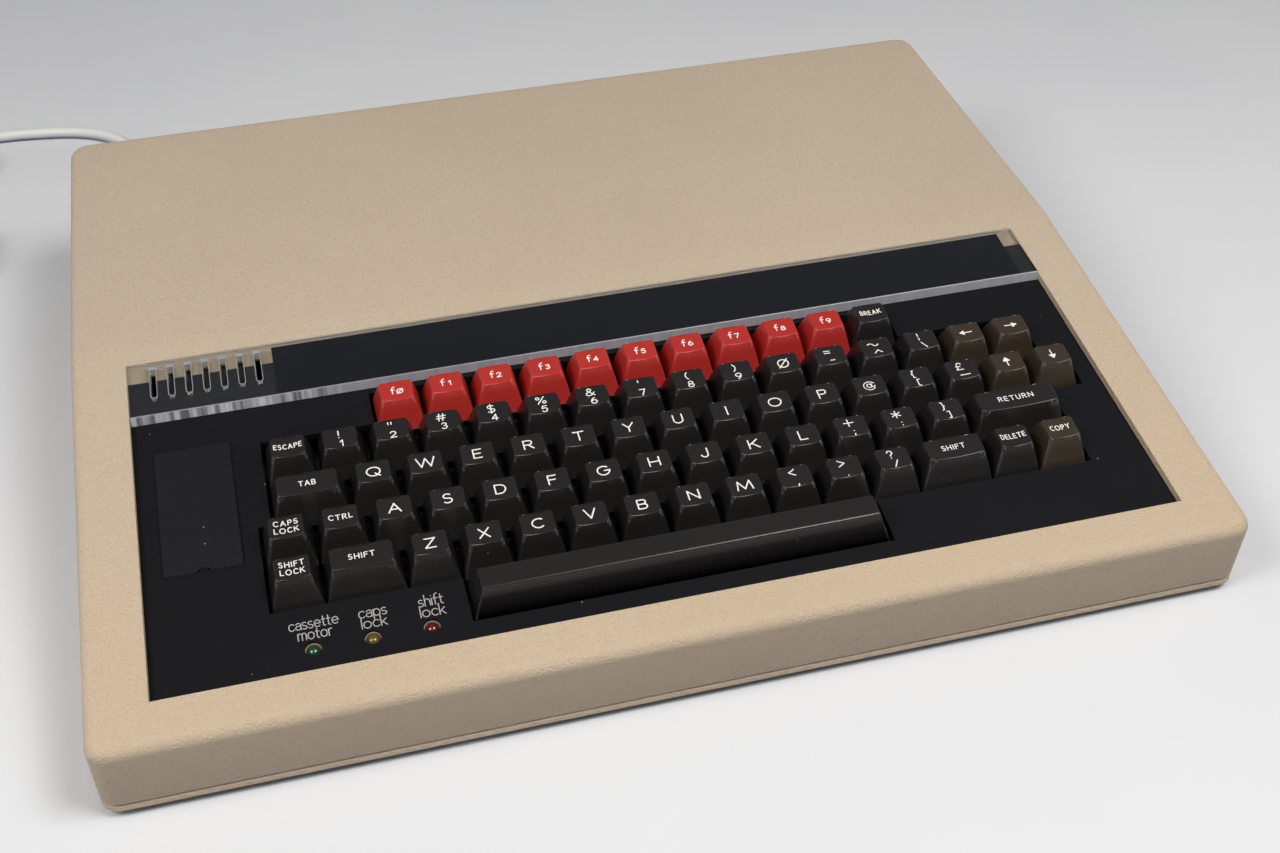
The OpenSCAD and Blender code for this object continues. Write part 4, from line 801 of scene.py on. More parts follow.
# %% Characters as strokes
CHARACTERS = {
    "A": "0,0 .48,1 .96,0; .17,.35 .79,.35",
    "B": "0,0 0,1 .44,1 .44,.76,.24,.24,90,-90 0,.52; .44,.52 .46,.26,.27,.26,90,-90 0,0",
    "C": ".5,.5,.5,.5,48,312", "D": "0,0 0,1 .34,1 .34,.5,.5,.5,90,-90 0,0",
    "E": ".66,1 0,1 0,0 .66,0; 0,.52 .58,.52", "F": ".64,1 0,1 0,0; 0,.52 .56,.52",
    "G": ".5,.5,.5,.5,48,360; 1,.5 .58,.5", "H": "0,0 0,1; .86,0 .86,1; 0,.5 .86,.5", "I": "0,0 0,1",
    "J": ".56,1 .56,.3 .28,.3,.28,.3,0,-170", "K": "0,0 0,1; .78,1 0,.4; .27,.6 .84,0",
    "L": "0,1 0,0 .62,0", "M": "0,0 .16,1 .64,.12 1.12,1 1.28,0", "N": "0,0 0,1 .88,0 .88,1",
    "O": ".54,.5,.54,.5,90,450", "P": "0,0 0,1 .42,1 .42,.74,.27,.26,90,-90 0,.48",
    "Q": ".54,.5,.54,.5,90,450; .66,.3 1.04,-.06",
    "R": "0,0 0,1 .42,1 .42,.75,.26,.25,90,-90 0,.5; .36,.5 .76,0",
    "S": ".34,.76,.3,.24,35,270 .34,.26,.34,.26,90,-145", "T": "0,1 .84,1; .42,1 .42,0",
    "U": "0,1 0,.34 .38,.34,.38,.34,180,360 .76,1", "V": "0,1 .44,0 .88,1",
    "W": "0,1 .36,0 .74,1 1.12,0 1.48,1", "X": "0,0 .8,1; 0,1 .8,0",
    "Y": "0,1 .42,.48 .84,1; .42,.48 .42,0", "Z": "0,1 .8,1 0,0 .8,0", "1": "0,.76 .26,1 .26,0",
    "2": ".33,.7,.31,.3,165,-38 0,0 .68,0", "3": ".3,.76,.27,.24,150,-90; .3,.27,.31,.27,90,-150",
    "4": ".5,0 .5,1 0,.3 .7,.3", "5": ".6,1 .12,1 .06,.56; .3,.32,.33,.32,128,-140",
    "6": ".34,.3,.33,.3,0,360; .62,.3,.61,.7,180,105", "7": "0,1 .64,1 .22,0",
    "8": ".32,.75,.25,.24,90,450; .32,.26,.32,.26,90,450",
    "9": ".33,.7,.33,.3,0,360; .05,.7,.61,.7,0,-75", "!": "0,1 0,.36; 0,.03 .01,.03",
    '"': "0,1 0,.7; .3,1 .3,.7", "#": ".2,0 .32,1; .58,0 .7,1; 0,.34 .82,.34; .08,.68 .9,.68",
    "$": ".34,.76,.3,.24,35,270 .34,.26,.34,.26,90,-145; .34,-.14 .34,1.14",
    "%": ".16,.8,.16,.17,0,360; .76,.2,.16,.17,0,360; .12,0 .8,1",
    "&": ".85,0 .24,.66 .38,.81,.19,.19,215,-50 .1,.4 .33,.24,.31,.24,150,325 .84,.42",
    "'": "0,1.02 0,.72", "(": ".5,.5,.5,.62,125,235", ")": "-.3,.5,.5,.62,55,-55",
    "=": "0,.66 .6,.66; 0,.34 .6,.34", "-": "0,.5 .5,.5",
    "~": ".28,.45,.28,.2,170,20 .84,.5,.28,.2,200,350", "^": "0,.45 .46,.95 .92,.45",
    "|": "0,0 0,.36; 0,.64 0,1", "\\": "0,1 .5,0", "/": "0,0 .5,1",
    "@": ".5,.48,.5,.5,-35,-330; .48,.5,.2,.22,0,360; .7,.74 .7,.34 .82,.29 .96,.42",
    "{": ".3,1.05 .14,.98 .14,.62 0,.5 .14,.38 .14,.02 .3,-.05",
    "}": "0,1.05 .16,.98 .16,.62 .3,.5 .16,.38 .16,.02 0,-.05", "[": ".26,1.05 0,1.05 0,-.05 .26,-.05",
    "]": "0,1.05 .26,1.05 .26,-.05 0,-.05", "P_": ".4,.76,.22,.24,10,180 .18,.2 0,0 .68,0; 0,.48 .48,.48",
    "_": "0,.45 1.2,.45", "+": "0,.5 .96,.5; .48,.02 .48,.98", ";": "0,.62 .01,.62; .02,.14 -.06,-.14",
    "*": ".45,.02 .45,.98; .03,.26 .87,.74; .03,.74 .87,.26", ":": "0,.62 .01,.62; 0,.12 .01,.12",
    "<": ".6,.9 0,.5 .6,.1", ">": "0,.9 .6,.5 0,.1", ",": ".02,.12 -.06,-.2", ".": "0,.04 .01,.04",
    "?": ".27,.74,.25,.26,165,-75 .28,.3; .28,.03 .29,.03",
    "left": "1.5,.5 .3,.5; 0,.5 .5,.82 .5,.18 0,.5; .15,.5 .4,.62; .15,.5 .4,.38",
    "right": "0,.5 1.2,.5; 1.5,.5 1,.82 1,.18 1.5,.5; 1.35,.5 1.1,.62; 1.35,.5 1.1,.38",
    "up": ".32,0 .32,1; .32,1.25 0,.75 .64,.75 .32,1.25; .32,1.1 .2,.85; .32,1.1 .44,.85",
    "down": ".32,1.25 .32,.25; .32,0 0,.5 .64,.5 .32,0; .32,.15 .2,.4; .32,.15 .44,.4",
    "slashed": ".46,.5,.46,.5,90,450; .02,-.02 .9,1.02",
    "a": ".27,.42,.22,.18,160,0 .49,0; .49,.34 .25,.17,.24,.17,100,320", "c": ".28,.3,.28,.3,45,315",
    "e": ".03,.31 .57,.31 .3,.3,.28,.3,2,315", "f": ".34,.78,.2,.22,75,180 .14,0; 0,.58 .36,.58",
    "h": "0,0 0,1; 0,.36 .24,.36,.24,.26,180,0 .48,0", "i": "0,0 0,.6; 0,.86 .01,.86",
    "k": "0,0 0,1; .42,.6 0,.22; .14,.34 .46,0", "l": "0,0 0,1",
    "m": "0,0 0,.6; 0,.4 .19,.4,.19,.22,180,0 .38,0; .38,.4 .57,.4,.19,.22,180,0 .76,0",
    "o": ".29,.3,.29,.3,0,360", "p": "0,-.3 0,.6; .28,.3,.28,.3,0,360",
    "r": "0,0 0,.6; 0,.36 .22,.36,.22,.26,180,70", "s": ".21,.45,.19,.15,40,270 .21,.15,.21,.15,90,-145",
    "t": ".12,.86 .12,.14 .28,.14,.16,.14,180,280; 0,.58 .32,.58",
}


def strokes_of(character):
    """A character's strokes as lists of (x, y), in units of its height."""
    found = []
    for stroke in CHARACTERS[character].split(";"):
        path = []
        for token in stroke.split():
            numbers = [float(v) for v in token.split(",")]
            if len(numbers) == 2:
                path.append(tuple(numbers))
            else:
                cx, cy, rx, ry, start, end = numbers
                steps = max(4, int(abs(end - start) / 15))
                turns = [math.radians(start + (end - start) * k / steps) for k in range(steps + 1)]
                path += [(cx + rx * math.cos(a), cy + ry * math.sin(a)) for a in turns]
        found.append([p for i, p in enumerate(path) if i == 0 or math.dist(p, path[i - 1]) > 1e-6])
    return found


print("characters", len(CHARACTERS))


# %% Ribbons
SHARP_TURN, RIBBON_STEP, FIRST_LIFT, NEXT_LIFT = math.radians(40), 0.6, 0.02, 0.0015


def split_at_corners(path):
    """Parts a path where it turns sharply, so that each part gets round ends."""
    parts, part = [], [path[0]]
    for i in range(1, len(path)):
        part.append(path[i])
        if i + 1 < len(path):
            a, b = Vector(path[i]) - Vector(path[i - 1]), Vector(path[i + 1]) - Vector(path[i])
            if a.angle(b) > SHARP_TURN:
                parts.append(part)
                part = [path[i]]
    return parts + [part]


def quarter(v):
    """A flat vector turned a quarter to the left."""
    return Vector((-v.y, v.x))


def add_ribbon(bm, path, width, surface, lift):
    """Adds a flat stroke with round ends. surface maps (x, y, lift) to a point in metres."""
    dense = [Vector(path[0])]
    for p in path[1:]:
        start = dense[-1]
        step = Vector(p) - start
        cuts = max(1, math.ceil(step.length / RIBBON_STEP))
        dense += [start + step * (k / cuts) for k in range(1, cuts + 1)]
    r = width / 2
    across = [quarter(direction(dense, i)) for i in range(len(dense))]
    left, right = [[bm.verts.new(surface(*(p + n * reach), lift)) for p, n in zip(dense, across)]
                   for reach in (r, -r)]
    for i in range(len(dense) - 1):
        bm.faces.new((right[i], right[i + 1], left[i + 1], left[i]))
    for p, n, first, last in ((dense[-1], -across[-1], right[-1], left[-1]),
                              (dense[0], across[0], left[0], right[0])):
        turns = [math.radians(a) for a in (30, 60, 90, 120, 150)]
        ends = [p + (n * math.cos(a) + quarter(n) * math.sin(a)) * r for a in turns]
        bm.faces.new([first] + [bm.verts.new(surface(*end, lift)) for end in ends] + [last])


def add_text(bm, text, centre, height, surface, width=None, stroke=0.6, stretch=1.1, gap=0.55):
    """Adds a line of characters about a centre. text is a string or a list of character names."""
    lines, x = [], 0.0
    for character in text:
        paths = strokes_of(character)
        low = min(p[0] for path in paths for p in path)
        high = max(p[0] for path in paths for p in path)
        lines += [[(x + (px - low) * height * stretch, py * height) for px, py in path] for path in paths]
        x += (high - low) * height * stretch + stroke + gap
    total = x - stroke - gap
    squeeze = (width - stroke) / total if width else 1.0
    lift = FIRST_LIFT
    for path in lines:
        placed = [(centre[0] + (px - total / 2) * squeeze, centre[1] + py - height / 2) for px, py in path]
        for part in split_at_corners(placed):
            add_ribbon(bm, part, stroke, surface, lift)
            lift += NEXT_LIFT


# %% [markdown]
# Each legend needs a place on its own cap. Letters sit a little behind the middle,
# shifted characters go above the plain ones, and words are set in small capitals of a
# width that fits the cap. Every node's legends are one mesh that rides with its keys.

# %% Legends on the caps
WIDE_GAP, PLAIN_GAP = 0.38, 0.12


def cap_surface(row, place, extra):
    """Maps a place on a cap's top, and a lift above it, to a point in metres."""
    matrix, half = at_key(row, place), TOP_SECTION[1] + extra
    return lambda x, y, lift: matrix @ mm(x, y, KEY_H - dish_drop(x, half) + lift)


def legend_object(node, jobs):
    """jobs are (row, place, extra, [(text, centre, height, width, stroke), ...])."""
    bm = bmesh.new()
    for row, place, extra, texts in jobs:
        surface = cap_surface(row, place, extra)
        for text, centre, height, width, stroke in texts:
            gap = height * (WIDE_GAP if width else PLAIN_GAP)
            add_text(bm, text, centre, height, surface, width, stroke, gap=gap)
    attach(mesh_object(node + "_legend", bm, legend_white), node)


def letter(text, y=1.1, height=4.1, stroke=0.54):
    return [(text, (0, y), height, None, stroke)]


def pair(upper, lower, side=0.5):
    return [(upper, (-side, 3.05), 3.5, None, 0.46), (lower, (side, -1.45), 2.9, None, 0.46)]


def word(text, width, y=1.3):
    return [(text, (0, y), 2.15, width, 0.38)]


def function_sign(i):
    digit = str(i) if i else ["slashed"]
    return [("f", (-1.3, 1.5), 3.4, None, 0.46), (digit, (1.3, 0.8), 2.2, None, 0.46)]


numbers = [pair(a, b, 0.3) for a, b in zip("!\"#$%&'()", "123456789")] + [letter(["slashed"])]
row_legends = [
    numbers + [pair("=", "-"), pair("~", "^"), pair("|", "\\")],
    [letter(c) for c in "QWERTYUIOP"] + [letter("@", 1.1, 4.2, 0.4), pair("{", "["), pair(["P_"], "_")],
    [letter(c) for c in "ASDFGHJKL"] + [pair("+", ";"), pair("*", ":"), pair("}", "]")],
    [letter(c) for c in "ZXCVBNM"] + [pair("<", ","), pair(">", "."), pair("?", "/")],
]
for (node, row, first, count), legends in zip(key_rows, row_legends):
    legend_object(node, [(row, first + i, 0.0, legends[i]) for i in range(count)])
words = {
    "key_break": word("BREAK", 8.8), "key_escape": word("ESCAPE", 10.4), "key_tab": word("TAB", 6.2),
    "key_caps_lock": word("CAPS", 8.6, 2.9) + word("LOCK", 8.8, -0.5), "key_ctrl": word("CTRL", 8.6),
    "key_return": word("RETURN", 14.4), "key_shift_lock": word("SHIFT", 8.8, 2.9) + word("LOCK", 8.6, -0.5),
    "key_shift_left": word("SHIFT", 9.2), "key_shift_right": word("SHIFT", 9.2),
    "key_delete": word("DELETE", 10.0), "key_copy": word("COPY", 7.9),
    "key_left": letter(["left"], 1.2, 2.9, 0.5), "key_right": letter(["right"], 1.2, 2.9, 0.5),
    "key_up": letter(["up"], 0.9, 3.4, 0.5), "key_down": letter(["down"], 0.9, 3.4, 0.5),
}
words.update({"key_f%d" % i: function_sign(i) for i in range(10)})
for node, row, place, width, material in single_keys:
    legend_object(node, [(row, place, (width - 1) * PITCH / 2, words[node])])
print("legends", len(words) + len(row_legends))

# %% [markdown]
# ## Keyboard surround, cover and backing
#
# These flat black pieces have the right shape in the CAD model. What they lack is the
# small round that any real edge has. `dressed` copies a CAD mesh, joins its triangles
# into whole faces, rounds its sharp edges a little, and stands in for the node.


# %% Dressed copies
def cad_mesh(node):
    """A clean bmesh of a CAD node, with its corners welded and its flat faces joined."""
    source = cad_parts[node].data
    bm = bmesh.new()
    corners = [bm.verts.new(v.co) for v in source.vertices]
    for face in source.polygons:
        bm.faces.new([corners[i] for i in face.vertices])
    bmesh.ops.remove_doubles(bm, verts=bm.verts, dist=0.002 * MM)
    bmesh.ops.dissolve_limit(bm, angle_limit=math.radians(0.5), verts=bm.verts, edges=bm.edges)
    return bm


def dressed(node, material, width=0.25, body="case", segments=2):
    """A copy of a CAD node with softened edges and a finish, in the node's place."""
    obj = mesh_object(node + "_dressed", cad_mesh(node), material)
    soften(obj, width, segments)
    return settle(obj, body, slot_of(node), node)


surround = dressed("keyboard_surround", surround_black, 0.2)
cover = dressed("slot_cover", cover_black, 0.22)
backing = dressed("strip_label", print_dark, 0.05)
print("flat pieces", [len(o.data.polygons) for o in (surround, cover, backing)])

# %% [markdown]
# ## Clear strip
#
# Clear acrylic looks clear because its faces are polished, and shows itself at its
# edges. So the strip is true geometry with slots through it, and three finishes: the
# polished faces, the sawn front face, and the chamfered rims of the slots, which
# scatter light and draw each slot as a pale outline. The rims' pale finish also covers
# the rear face, where it is a painted highlight for the bright line along the rear edge.


# %% Acrylic
def show_either(tree, factor, first, second):
    """Ends a material in a mix of two shaders."""
    either = add_node(tree, "MixShader", {0: factor, 1: first, 2: second})[0]
    tree.links.new(either, tree.nodes["Material Output"].inputs["Surface"])


def acrylic(name, tint, rough, clear):
    """Clear plastic that lets lamp light through to what lies under it."""
    material, tree, shader = new_material(name, {
        "Base Color": tint, "Roughness": rough, "Metallic": 0.0, "IOR": 1.49,
        "Specular IOR Level": 0.33, "Transmission Weight": clear,
    })
    shadow = add_node(tree, "LightPath", {})["Is Shadow Ray"]
    passing = add_node(tree, "BsdfTransparent", {"Color": (0.6, 0.61, 0.62, 1)})[0]
    show_either(tree, shadow, shader.outputs[0], passing)
    return material


clear_acrylic = acrylic("clear_acrylic", (0.97, 0.98, 0.985, 1), 0.015, 1.0)
sawn_acrylic = acrylic("sawn_acrylic", (0.62, 0.63, 0.67, 1), 0.38, 0.45)
rim_and_highlight_acrylic = acrylic("rim_and_highlight_acrylic", (0.5, 0.51, 0.55, 1), 0.25, 0.5)
tree = sawn_acrylic.node_tree
place = position(tree)
stretched = add_node(tree, "VectorMath", {0: place, 1: (420, 12, 12)}, operation="MULTIPLY")[0]
streaks = add_node(tree, "TexNoise", {"Vector": stretched, "Scale": 1.0, "Detail": 3.0})["Fac"]
# Under the slots the light and dark streaks are stronger, and fade out where the slots end
split = add_node(tree, "SeparateXYZ", {0: place})
coarse = grade(tree, split["X"], -0.112, -0.104, 0.42, 0.04)
swing = grade(tree, streaks, 0.36, 0.62, -1.0, 1.0)
level = calc(tree, "ADD", calc(tree, "MULTIPLY", swing, coarse), 0.52)
set_inputs(tree, tree.nodes["Principled BSDF"], {
    "Roughness": grade(tree, streaks, 0.35, 0.65, 0.3, 0.46),
    "Base Color": mixed(tree, level, srgb(96, 94, 104), srgb(232, 232, 240)),
})
print("acrylic finishes", 3)

# %% Strip with its slots
STRIP_W, STRIP_S, STRIP_CREST, STRIP_END, RIM = 368.4, 143.5, 145.1, 174.3, 0.3
FOOT_N, CREST_N, REAR_N = -2.4, 1.0, -0.3
body_mesh = bmesh.new()
profile = [(STRIP_S, FOOT_N), (STRIP_CREST, CREST_N), (STRIP_END, REAR_N), (STRIP_END, FOOT_N)]
ends = [add_ring(body_mesh, slope, [(x, *p) for p in profile]) for x in (-STRIP_W / 2, STRIP_W / 2)]
skin(body_mesh, ends)
strip = mesh_object("clear_strip_body", body_mesh, clear_acrylic)
soften(strip, 0.35, 3)
holes = bmesh.new()
for i in range(SLOTS):
    x, r = SLOT_X + i * SLOT_PITCH, SLOT_W / 2
    rear = SLOT_S + SLOT_L
    outline = arc(x, SLOT_S + r, r, 180, 361, 15) + [(x + r, rear), (x - r, rear)]
    skin(holes, [add_ring(holes, slope, [(*p, n) for p in outline]) for n in (-4, 3)])
cut(strip, holes)
strip.data.materials.clear()
for material in (clear_acrylic, sawn_acrylic, rim_and_highlight_acrylic):
    strip.data.materials.append(material)
POLISHED, SAWN, RIMMED_OR_HIGHLIT = 0, 1, 2
back = slope.inverted()
square = slope.to_3x3().inverted()
for face in strip.data.polygons:
    centre, normal = back @ face.center / MM, square @ face.normal
    if centre.y < STRIP_CREST + 0.05 and normal.y < -0.8:
        face.material_index = SAWN
    elif centre.y < STRIP_CREST + 1.0 and normal.y < -0.05 and normal.z > 0.1:
        face.material_index = RIMMED_OR_HIGHLIT
    # The rear face takes the pale rim finish as a painted highlight, for the bright line along the rear
    # edge
    elif normal.y > 0.9 and centre.y > STRIP_END - 0.5:
        face.material_index = RIMMED_OR_HIGHLIT
    elif SLOT_S - 0.1 < centre.y < SLOT_S + SLOT_L + 0.1 and abs(normal.z) < 0.3 and centre.x < -130:
        face.material_index = RIMMED_OR_HIGHLIT if abs(centre.x) < STRIP_W / 2 - 1 else POLISHED
strip.data.shade_flat()
settle(strip, "case", "clear_acrylic", "clear_strip")
print("strip faces", len(strip.data.polygons))

# %% [markdown]
# The slots' rims are thin raised lips. Each follows its slot like a U with a small
# square pad at its rear end.

# %% Rims of the slots
rims = bmesh.new()


def strip_top(s):
    """Height of the strip's upper face over the slope, at a place up the slope."""
    return CREST_N + (REAR_N - CREST_N) * (s - STRIP_CREST) / (STRIP_END - STRIP_CREST)


def add_lip(bm, path, width, rise):
    """A low lip with a rounded top that follows an open path of (x, s) points on the strip."""
    section = [(-1, -0.1), (-0.8, rise * 0.7), (-0.3, rise), (0.3, rise), (0.8, rise * 0.7), (1, -0.1)]
    points = [Vector(p) for p in path]
    rings = []
    for i, p in enumerate(points):
        across = quarter(direction(points, i)) * width / 2
        rings.append(add_ring(bm, slope, [(*(p + across * t), strip_top(p.y) + up) for t, up in section]))
    skin(bm, rings)


for i in range(SLOTS):
    x, r = SLOT_X + i * SLOT_PITCH, SLOT_W / 2 + RIM / 2
    front, rear = SLOT_S + SLOT_W / 2, SLOT_S + SLOT_L
    middle = (front + rear) / 2
    bend = arc(x, front, r, 180, 361, 15)
    add_lip(rims, [(x - r, rear), (x - r, middle)] + bend + [(x + r, middle), (x + r, rear)], RIM, 0.12)
    add_lip(rims, [(x - r - RIM / 2, rear + 0.3), (x + r + RIM / 2, rear + 0.3)], 1.5, 0.14)
slot_rims = mesh_object("slot_rims", rims, rim_and_highlight_acrylic, 50)
settle(slot_rims, "case", "clear_acrylic")
print("rim faces", len(slot_rims.data.polygons))

# %% [markdown]
# ## Status lights
#
# Each light is a round-nosed lens that stands in a hole of the surround. A pale clip
# round it shows as a crescent at the far side of the hole. The lenses are unlit, so
# they are dark coloured plastic with a wet gloss and no glow.


# %% Lenses, clips and their labels
LIGHT_X, LIGHT_S, LIGHT_PITCH, LIGHT_R, LIGHT_N = -130.6, 28.1, 20.05, 2.5, -5.4
BASE_LINE, LINE_STEP, LABEL_H, LABEL_N = 32.1, 4.55, 4.7, -2.8


def lens(name, colour):
    """Dark coloured plastic with a wet gloss."""
    material = finish(name, colour, colour, 0.16, (600.0, 0.003), coat=1.0)
    material.node_tree.nodes["Principled BSDF"].inputs["Transmission Weight"].default_value = 0.25
    return material


def turned(bm, x, profile):
    """Rings of vertices round the axis of a light, from a profile of (radius, n) points."""
    return [add_ring(bm, slope, [(*p, n) for p in arc(x, LIGHT_S, r, 0, 360, 10)]) for r, n in profile]


def label_surface(x, s, lift):
    return slope @ mm(x, s, LABEL_N + lift)


lens_finishes = [
    lens("lens_green", (20, 78, 42)), lens("lens_amber", (116, 94, 28)), lens("lens_red", (100, 16, 24)),
]
dome = [(LIGHT_R, -20.0), (LIGHT_R, LIGHT_N)] + arc(0, LIGHT_N, LIGHT_R, 10, 81, 10)
clip_section = [(2.56, -6.2), (2.86, -6.2), (2.86, -4.0), (2.56, -4.0)]
clips = bmesh.new()
for i, material in enumerate(lens_finishes):
    bm = bmesh.new()
    skin(bm, turned(bm, LIGHT_X + i * LIGHT_PITCH, dome))
    light = mesh_object("status_light_%d" % (i + 1), bm, material, 50)
    settle(light, "case", "light_lens")
    if i == 0:
        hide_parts("status_lights")
    rings = turned(clips, LIGHT_X + i * LIGHT_PITCH, clip_section)
    for a, b in zip(rings, rings[1:] + rings[:1]):
        bridge(clips, a, b)
clip_pale = finish("clip_pale", (178, 160, 130), (166, 148, 120), 0.5, (900, 0.02))
settle(mesh_object("light_clips", clips, clip_pale, 40), "case", "light_lens")

# Each light's upper and lower word, with their widths
light_words = [("cassette", 17.0, "motor", 11.8), ("caps", 9.8, "lock", 8.9), ("shift", 8.7, "lock", 8.9)]
labels = bmesh.new()
for i, (upper, upper_w, lower, lower_w) in enumerate(light_words):
    for text, line, width in ((upper, 1, upper_w), (lower, 0, lower_w)):
        centre = (LIGHT_X + i * LIGHT_PITCH + 1.3, BASE_LINE + line * LINE_STEP + LABEL_H / 2)
        add_text(labels, text, centre, LABEL_H, label_surface, width, 0.38, 1.0, 0.35)
light_labels = mesh_object("light_labels", labels, legend_grey)
settle(light_labels, "case", "surround_black")
print("label strokes", len(light_labels.data.polygons))

# %% [markdown]
# ## Tray, feet and rear
#
# The tray and the rear parts keep their CAD shapes with softened edges. The tray's
# outer lip gets a larger round, because it catches light under the parting line. The
# sockets also get what makes them work: contacts, bayonet lugs and pins.

# %% Tray
LIP_ROUND, LIP_BAND = 1.0, 8.5
tray_mesh = cad_mesh("lower_case")


def is_outer_lip(e):
    """The outer upper edge of the tray, at its front and sides."""
    if len(e.link_faces) != 2 or any(abs(v.co.z - TRAY_TOP * MM) > 0.0001 for v in e.verts):
        return False
    wall = min(e.link_faces, key=lambda f: abs(f.normal.z))
    middle = (e.verts[0].co + e.verts[1].co) / 2
    if middle.y > (CASE_D / 2 - LIP_BAND) * MM:
        return False
    outside = abs(middle.x) > (CASE_W / 2 - LIP_BAND) * MM or middle.y < (LIP_BAND - CASE_D / 2) * MM
    return outside and abs(wall.normal.z) < 0.3 and wall.normal.x * middle.x + wall.normal.y * middle.y > 0


print("lip edges", round_edges(tray_mesh, is_outer_lip, LIP_ROUND, 3))
tray = mesh_object("lower_case_dressed", tray_mesh, case_cream)
soften(tray, 0.3)
settle(tray, "case", "case_cream", "lower_case")
print("tray faces", len(tray.data.polygons))

# %% Feet, screws and supply
outer_parts = [
    ("rubber_feet", foot_rubber, 0.4), ("fixing_screws", screw_steel, 0.25),
    ("power_supply", supply_cream, 0.5), ("switch_frame", switch_black, 0.4),
    ("rocker_switch", switch_black, 0.5, "rocker", 3), ("aerial_socket", socket_metal, 0.2),
    ("video_socket", socket_metal, 0.2), ("din_sockets", socket_plastic, 0.2),
    ("analogue_socket", socket_metal, 0.2), ("expansion_headers", socket_plastic, 0.15),
]
for node, *looks in outer_parts:
    print(node, len(dressed(node, *looks).data.polygons), "faces")


# %% Contacts and lugs
def rod(bm, x, y0, y1, z, r, sides=16):
    """Adds a rod that runs to the rear, with a slightly rounded end. Millimetres."""
    turns = [math.tau * k / sides for k in range(sides)]
    skin(bm, [[bm.verts.new(mm(x + w * math.cos(a), y, z + w * math.sin(a))) for a in turns]
              for y, w in ((y0, r), (y1 - r * 0.6, r), (y1 - r * 0.2, r * 0.85), (y1, r * 0.5))])


PANEL_Y, SOCKET_Z, VIDEO_X, D_X = 163.0, 24.0, -82.0, 60.0
D_PITCH, D_ROW, LUG_R = 2.76, 2.84, 1.0
contacts = bmesh.new()
for row, count in ((0, 8), (1, 7)):
    for k in range(count):
        x = D_X + (k - (count - 1) / 2) * D_PITCH
        rod(contacts, x, PANEL_Y - 0.5, PANEL_Y + 3.6, SOCKET_Z + D_ROW / 2 - row * D_ROW, 0.5, 10)
rod(contacts, VIDEO_X, PANEL_Y, PANEL_Y + 6.5, SOCKET_Z, 0.7)
settle(mesh_object("socket_contacts", contacts, contact_gold, 50), "case", "socket_metal")
lugs = bmesh.new()
for side in (-1, 1):
    lug = Matrix.Translation(mm(VIDEO_X + side * 5.2, PANEL_Y + 4.2, SOCKET_Z))
    cylinder(lugs, lug @ Matrix.Rotation(math.pi / 2, 4, "Y"), LUG_R, 1.6, 20)
settle(mesh_object("bayonet_lugs", lugs, socket_metal, 40), "case", "socket_metal")

# %% Header pins
HEADER_WAYS, HEADER_Y, HEADER_TOP, PIN_PITCH = (34, 26, 20, 34, 40), -82.0, 11.9, 2.54
pins = bmesh.new()
edge_x = 189.0
for ways in HEADER_WAYS:
    length = ways / 2 * PIN_PITCH + 7.5
    edge_x -= length
    for k in range(ways // 2):
        x = edge_x + length / 2 + (k - (ways / 2 - 1) / 2) * PIN_PITCH
        for y in (HEADER_Y - PIN_PITCH / 2, HEADER_Y + PIN_PITCH / 2):
            box(pins, (x - 0.32, y - 0.32, 5.4), (x + 0.32, y + 0.32, HEADER_TOP - 1.6))
    edge_x -= 4
settle(mesh_object("header_pins", pins, contact_gold), "case", "socket_metal")
print("header pins", sum(HEADER_WAYS))

# %% Screw recesses
# A cross recess is two crossed dark bars of painted shade, which at this size pass for
# a sunk cross. Each lies on the outer face of its head.
SUPPLY_X, SUPPLY_SCREWS_Y, FRONT_SCREW_Y = -163, (-40, 130), CREASE_Y + 22
UNDER_Z, REAR_SCREW_Z, REAR_HEAD_Y = 1.5, 42, PANEL_Y + 1.9
recess_painted_shade = finish("recess_painted_shade", (30, 30, 30), (24, 24, 24), 0.6, (900, 0.01))
crosses = bmesh.new()


def cross_mark(x, y, z, turn):
    """Adds a cross of painted shade at a place in millimetres, turned about x to face out of its head."""
    matrix = Matrix.Translation(mm(x, y, z)) @ Matrix.Rotation(turn, 4, "X")
    for spin in (0, math.pi / 2):
        box(crosses, (-1.5, -0.3, 0), (1.5, 0.3, 0.02), matrix @ Matrix.Rotation(spin, 4, "Z"))


for side in (-1, 1):
    cross_mark(side * FRONT_SCREW_X, FRONT_SCREW_Y, UNDER_Z, math.pi)
    cross_mark(side * REAR_SCREW_X, REAR_HEAD_Y, REAR_SCREW_Z, -math.pi / 2)
for y in SUPPLY_SCREWS_Y:
    cross_mark(SUPPLY_X, y, UNDER_Z, math.pi)
settle(mesh_object("screw_recess_shade", crosses, recess_painted_shade), "case", "screw_steel")
print("screw marks", 6)

# %% [markdown]
# ## Inside
#
# The boards, chips, speaker and ribbon are hidden when the machine is shut, so they
# keep simple shapes with true finishes. The chips get their legs, and the main board
# its copper tracks under green varnish, since those are what tells a board from a
# plate.

# %% Boards with tracks
tracks, given, end = start_group("copper_tracks", {"Scale": 210.0}, ["Mask"])
values = {"Vector": position(tracks), "Scale": given["Scale"]}
cells = add_node(tracks, "TexVoronoi", values, distance="MANHATTAN", feature="DISTANCE_TO_EDGE")
set_inputs(tracks, end, {"Mask": calc(tracks, "LESS_THAN", cells["Distance"], 0.06)})
tree = circuit_board.node_tree
lay_over(tree, add_node(tree, "Group", {}, node_tree=tracks)["Mask"], srgb(92, 122, 66))
inner_parts = [
    ("main_board", circuit_board, 0.1), ("keyboard_board", keyboard_green, 0.1),
    ("circuit_chips", chip_plastic, 0.3), ("chip_heatsink", heatsink_black, 0.15),
    ("keyboard_ribbon", ribbon_grey, 0.2), ("speaker", speaker_metal, 0.3),
    ("key_switches", switch_plastic, 0.2),
]
for node, *looks in inner_parts:
    print(node, len(dressed(node, *looks).data.polygons), "faces")

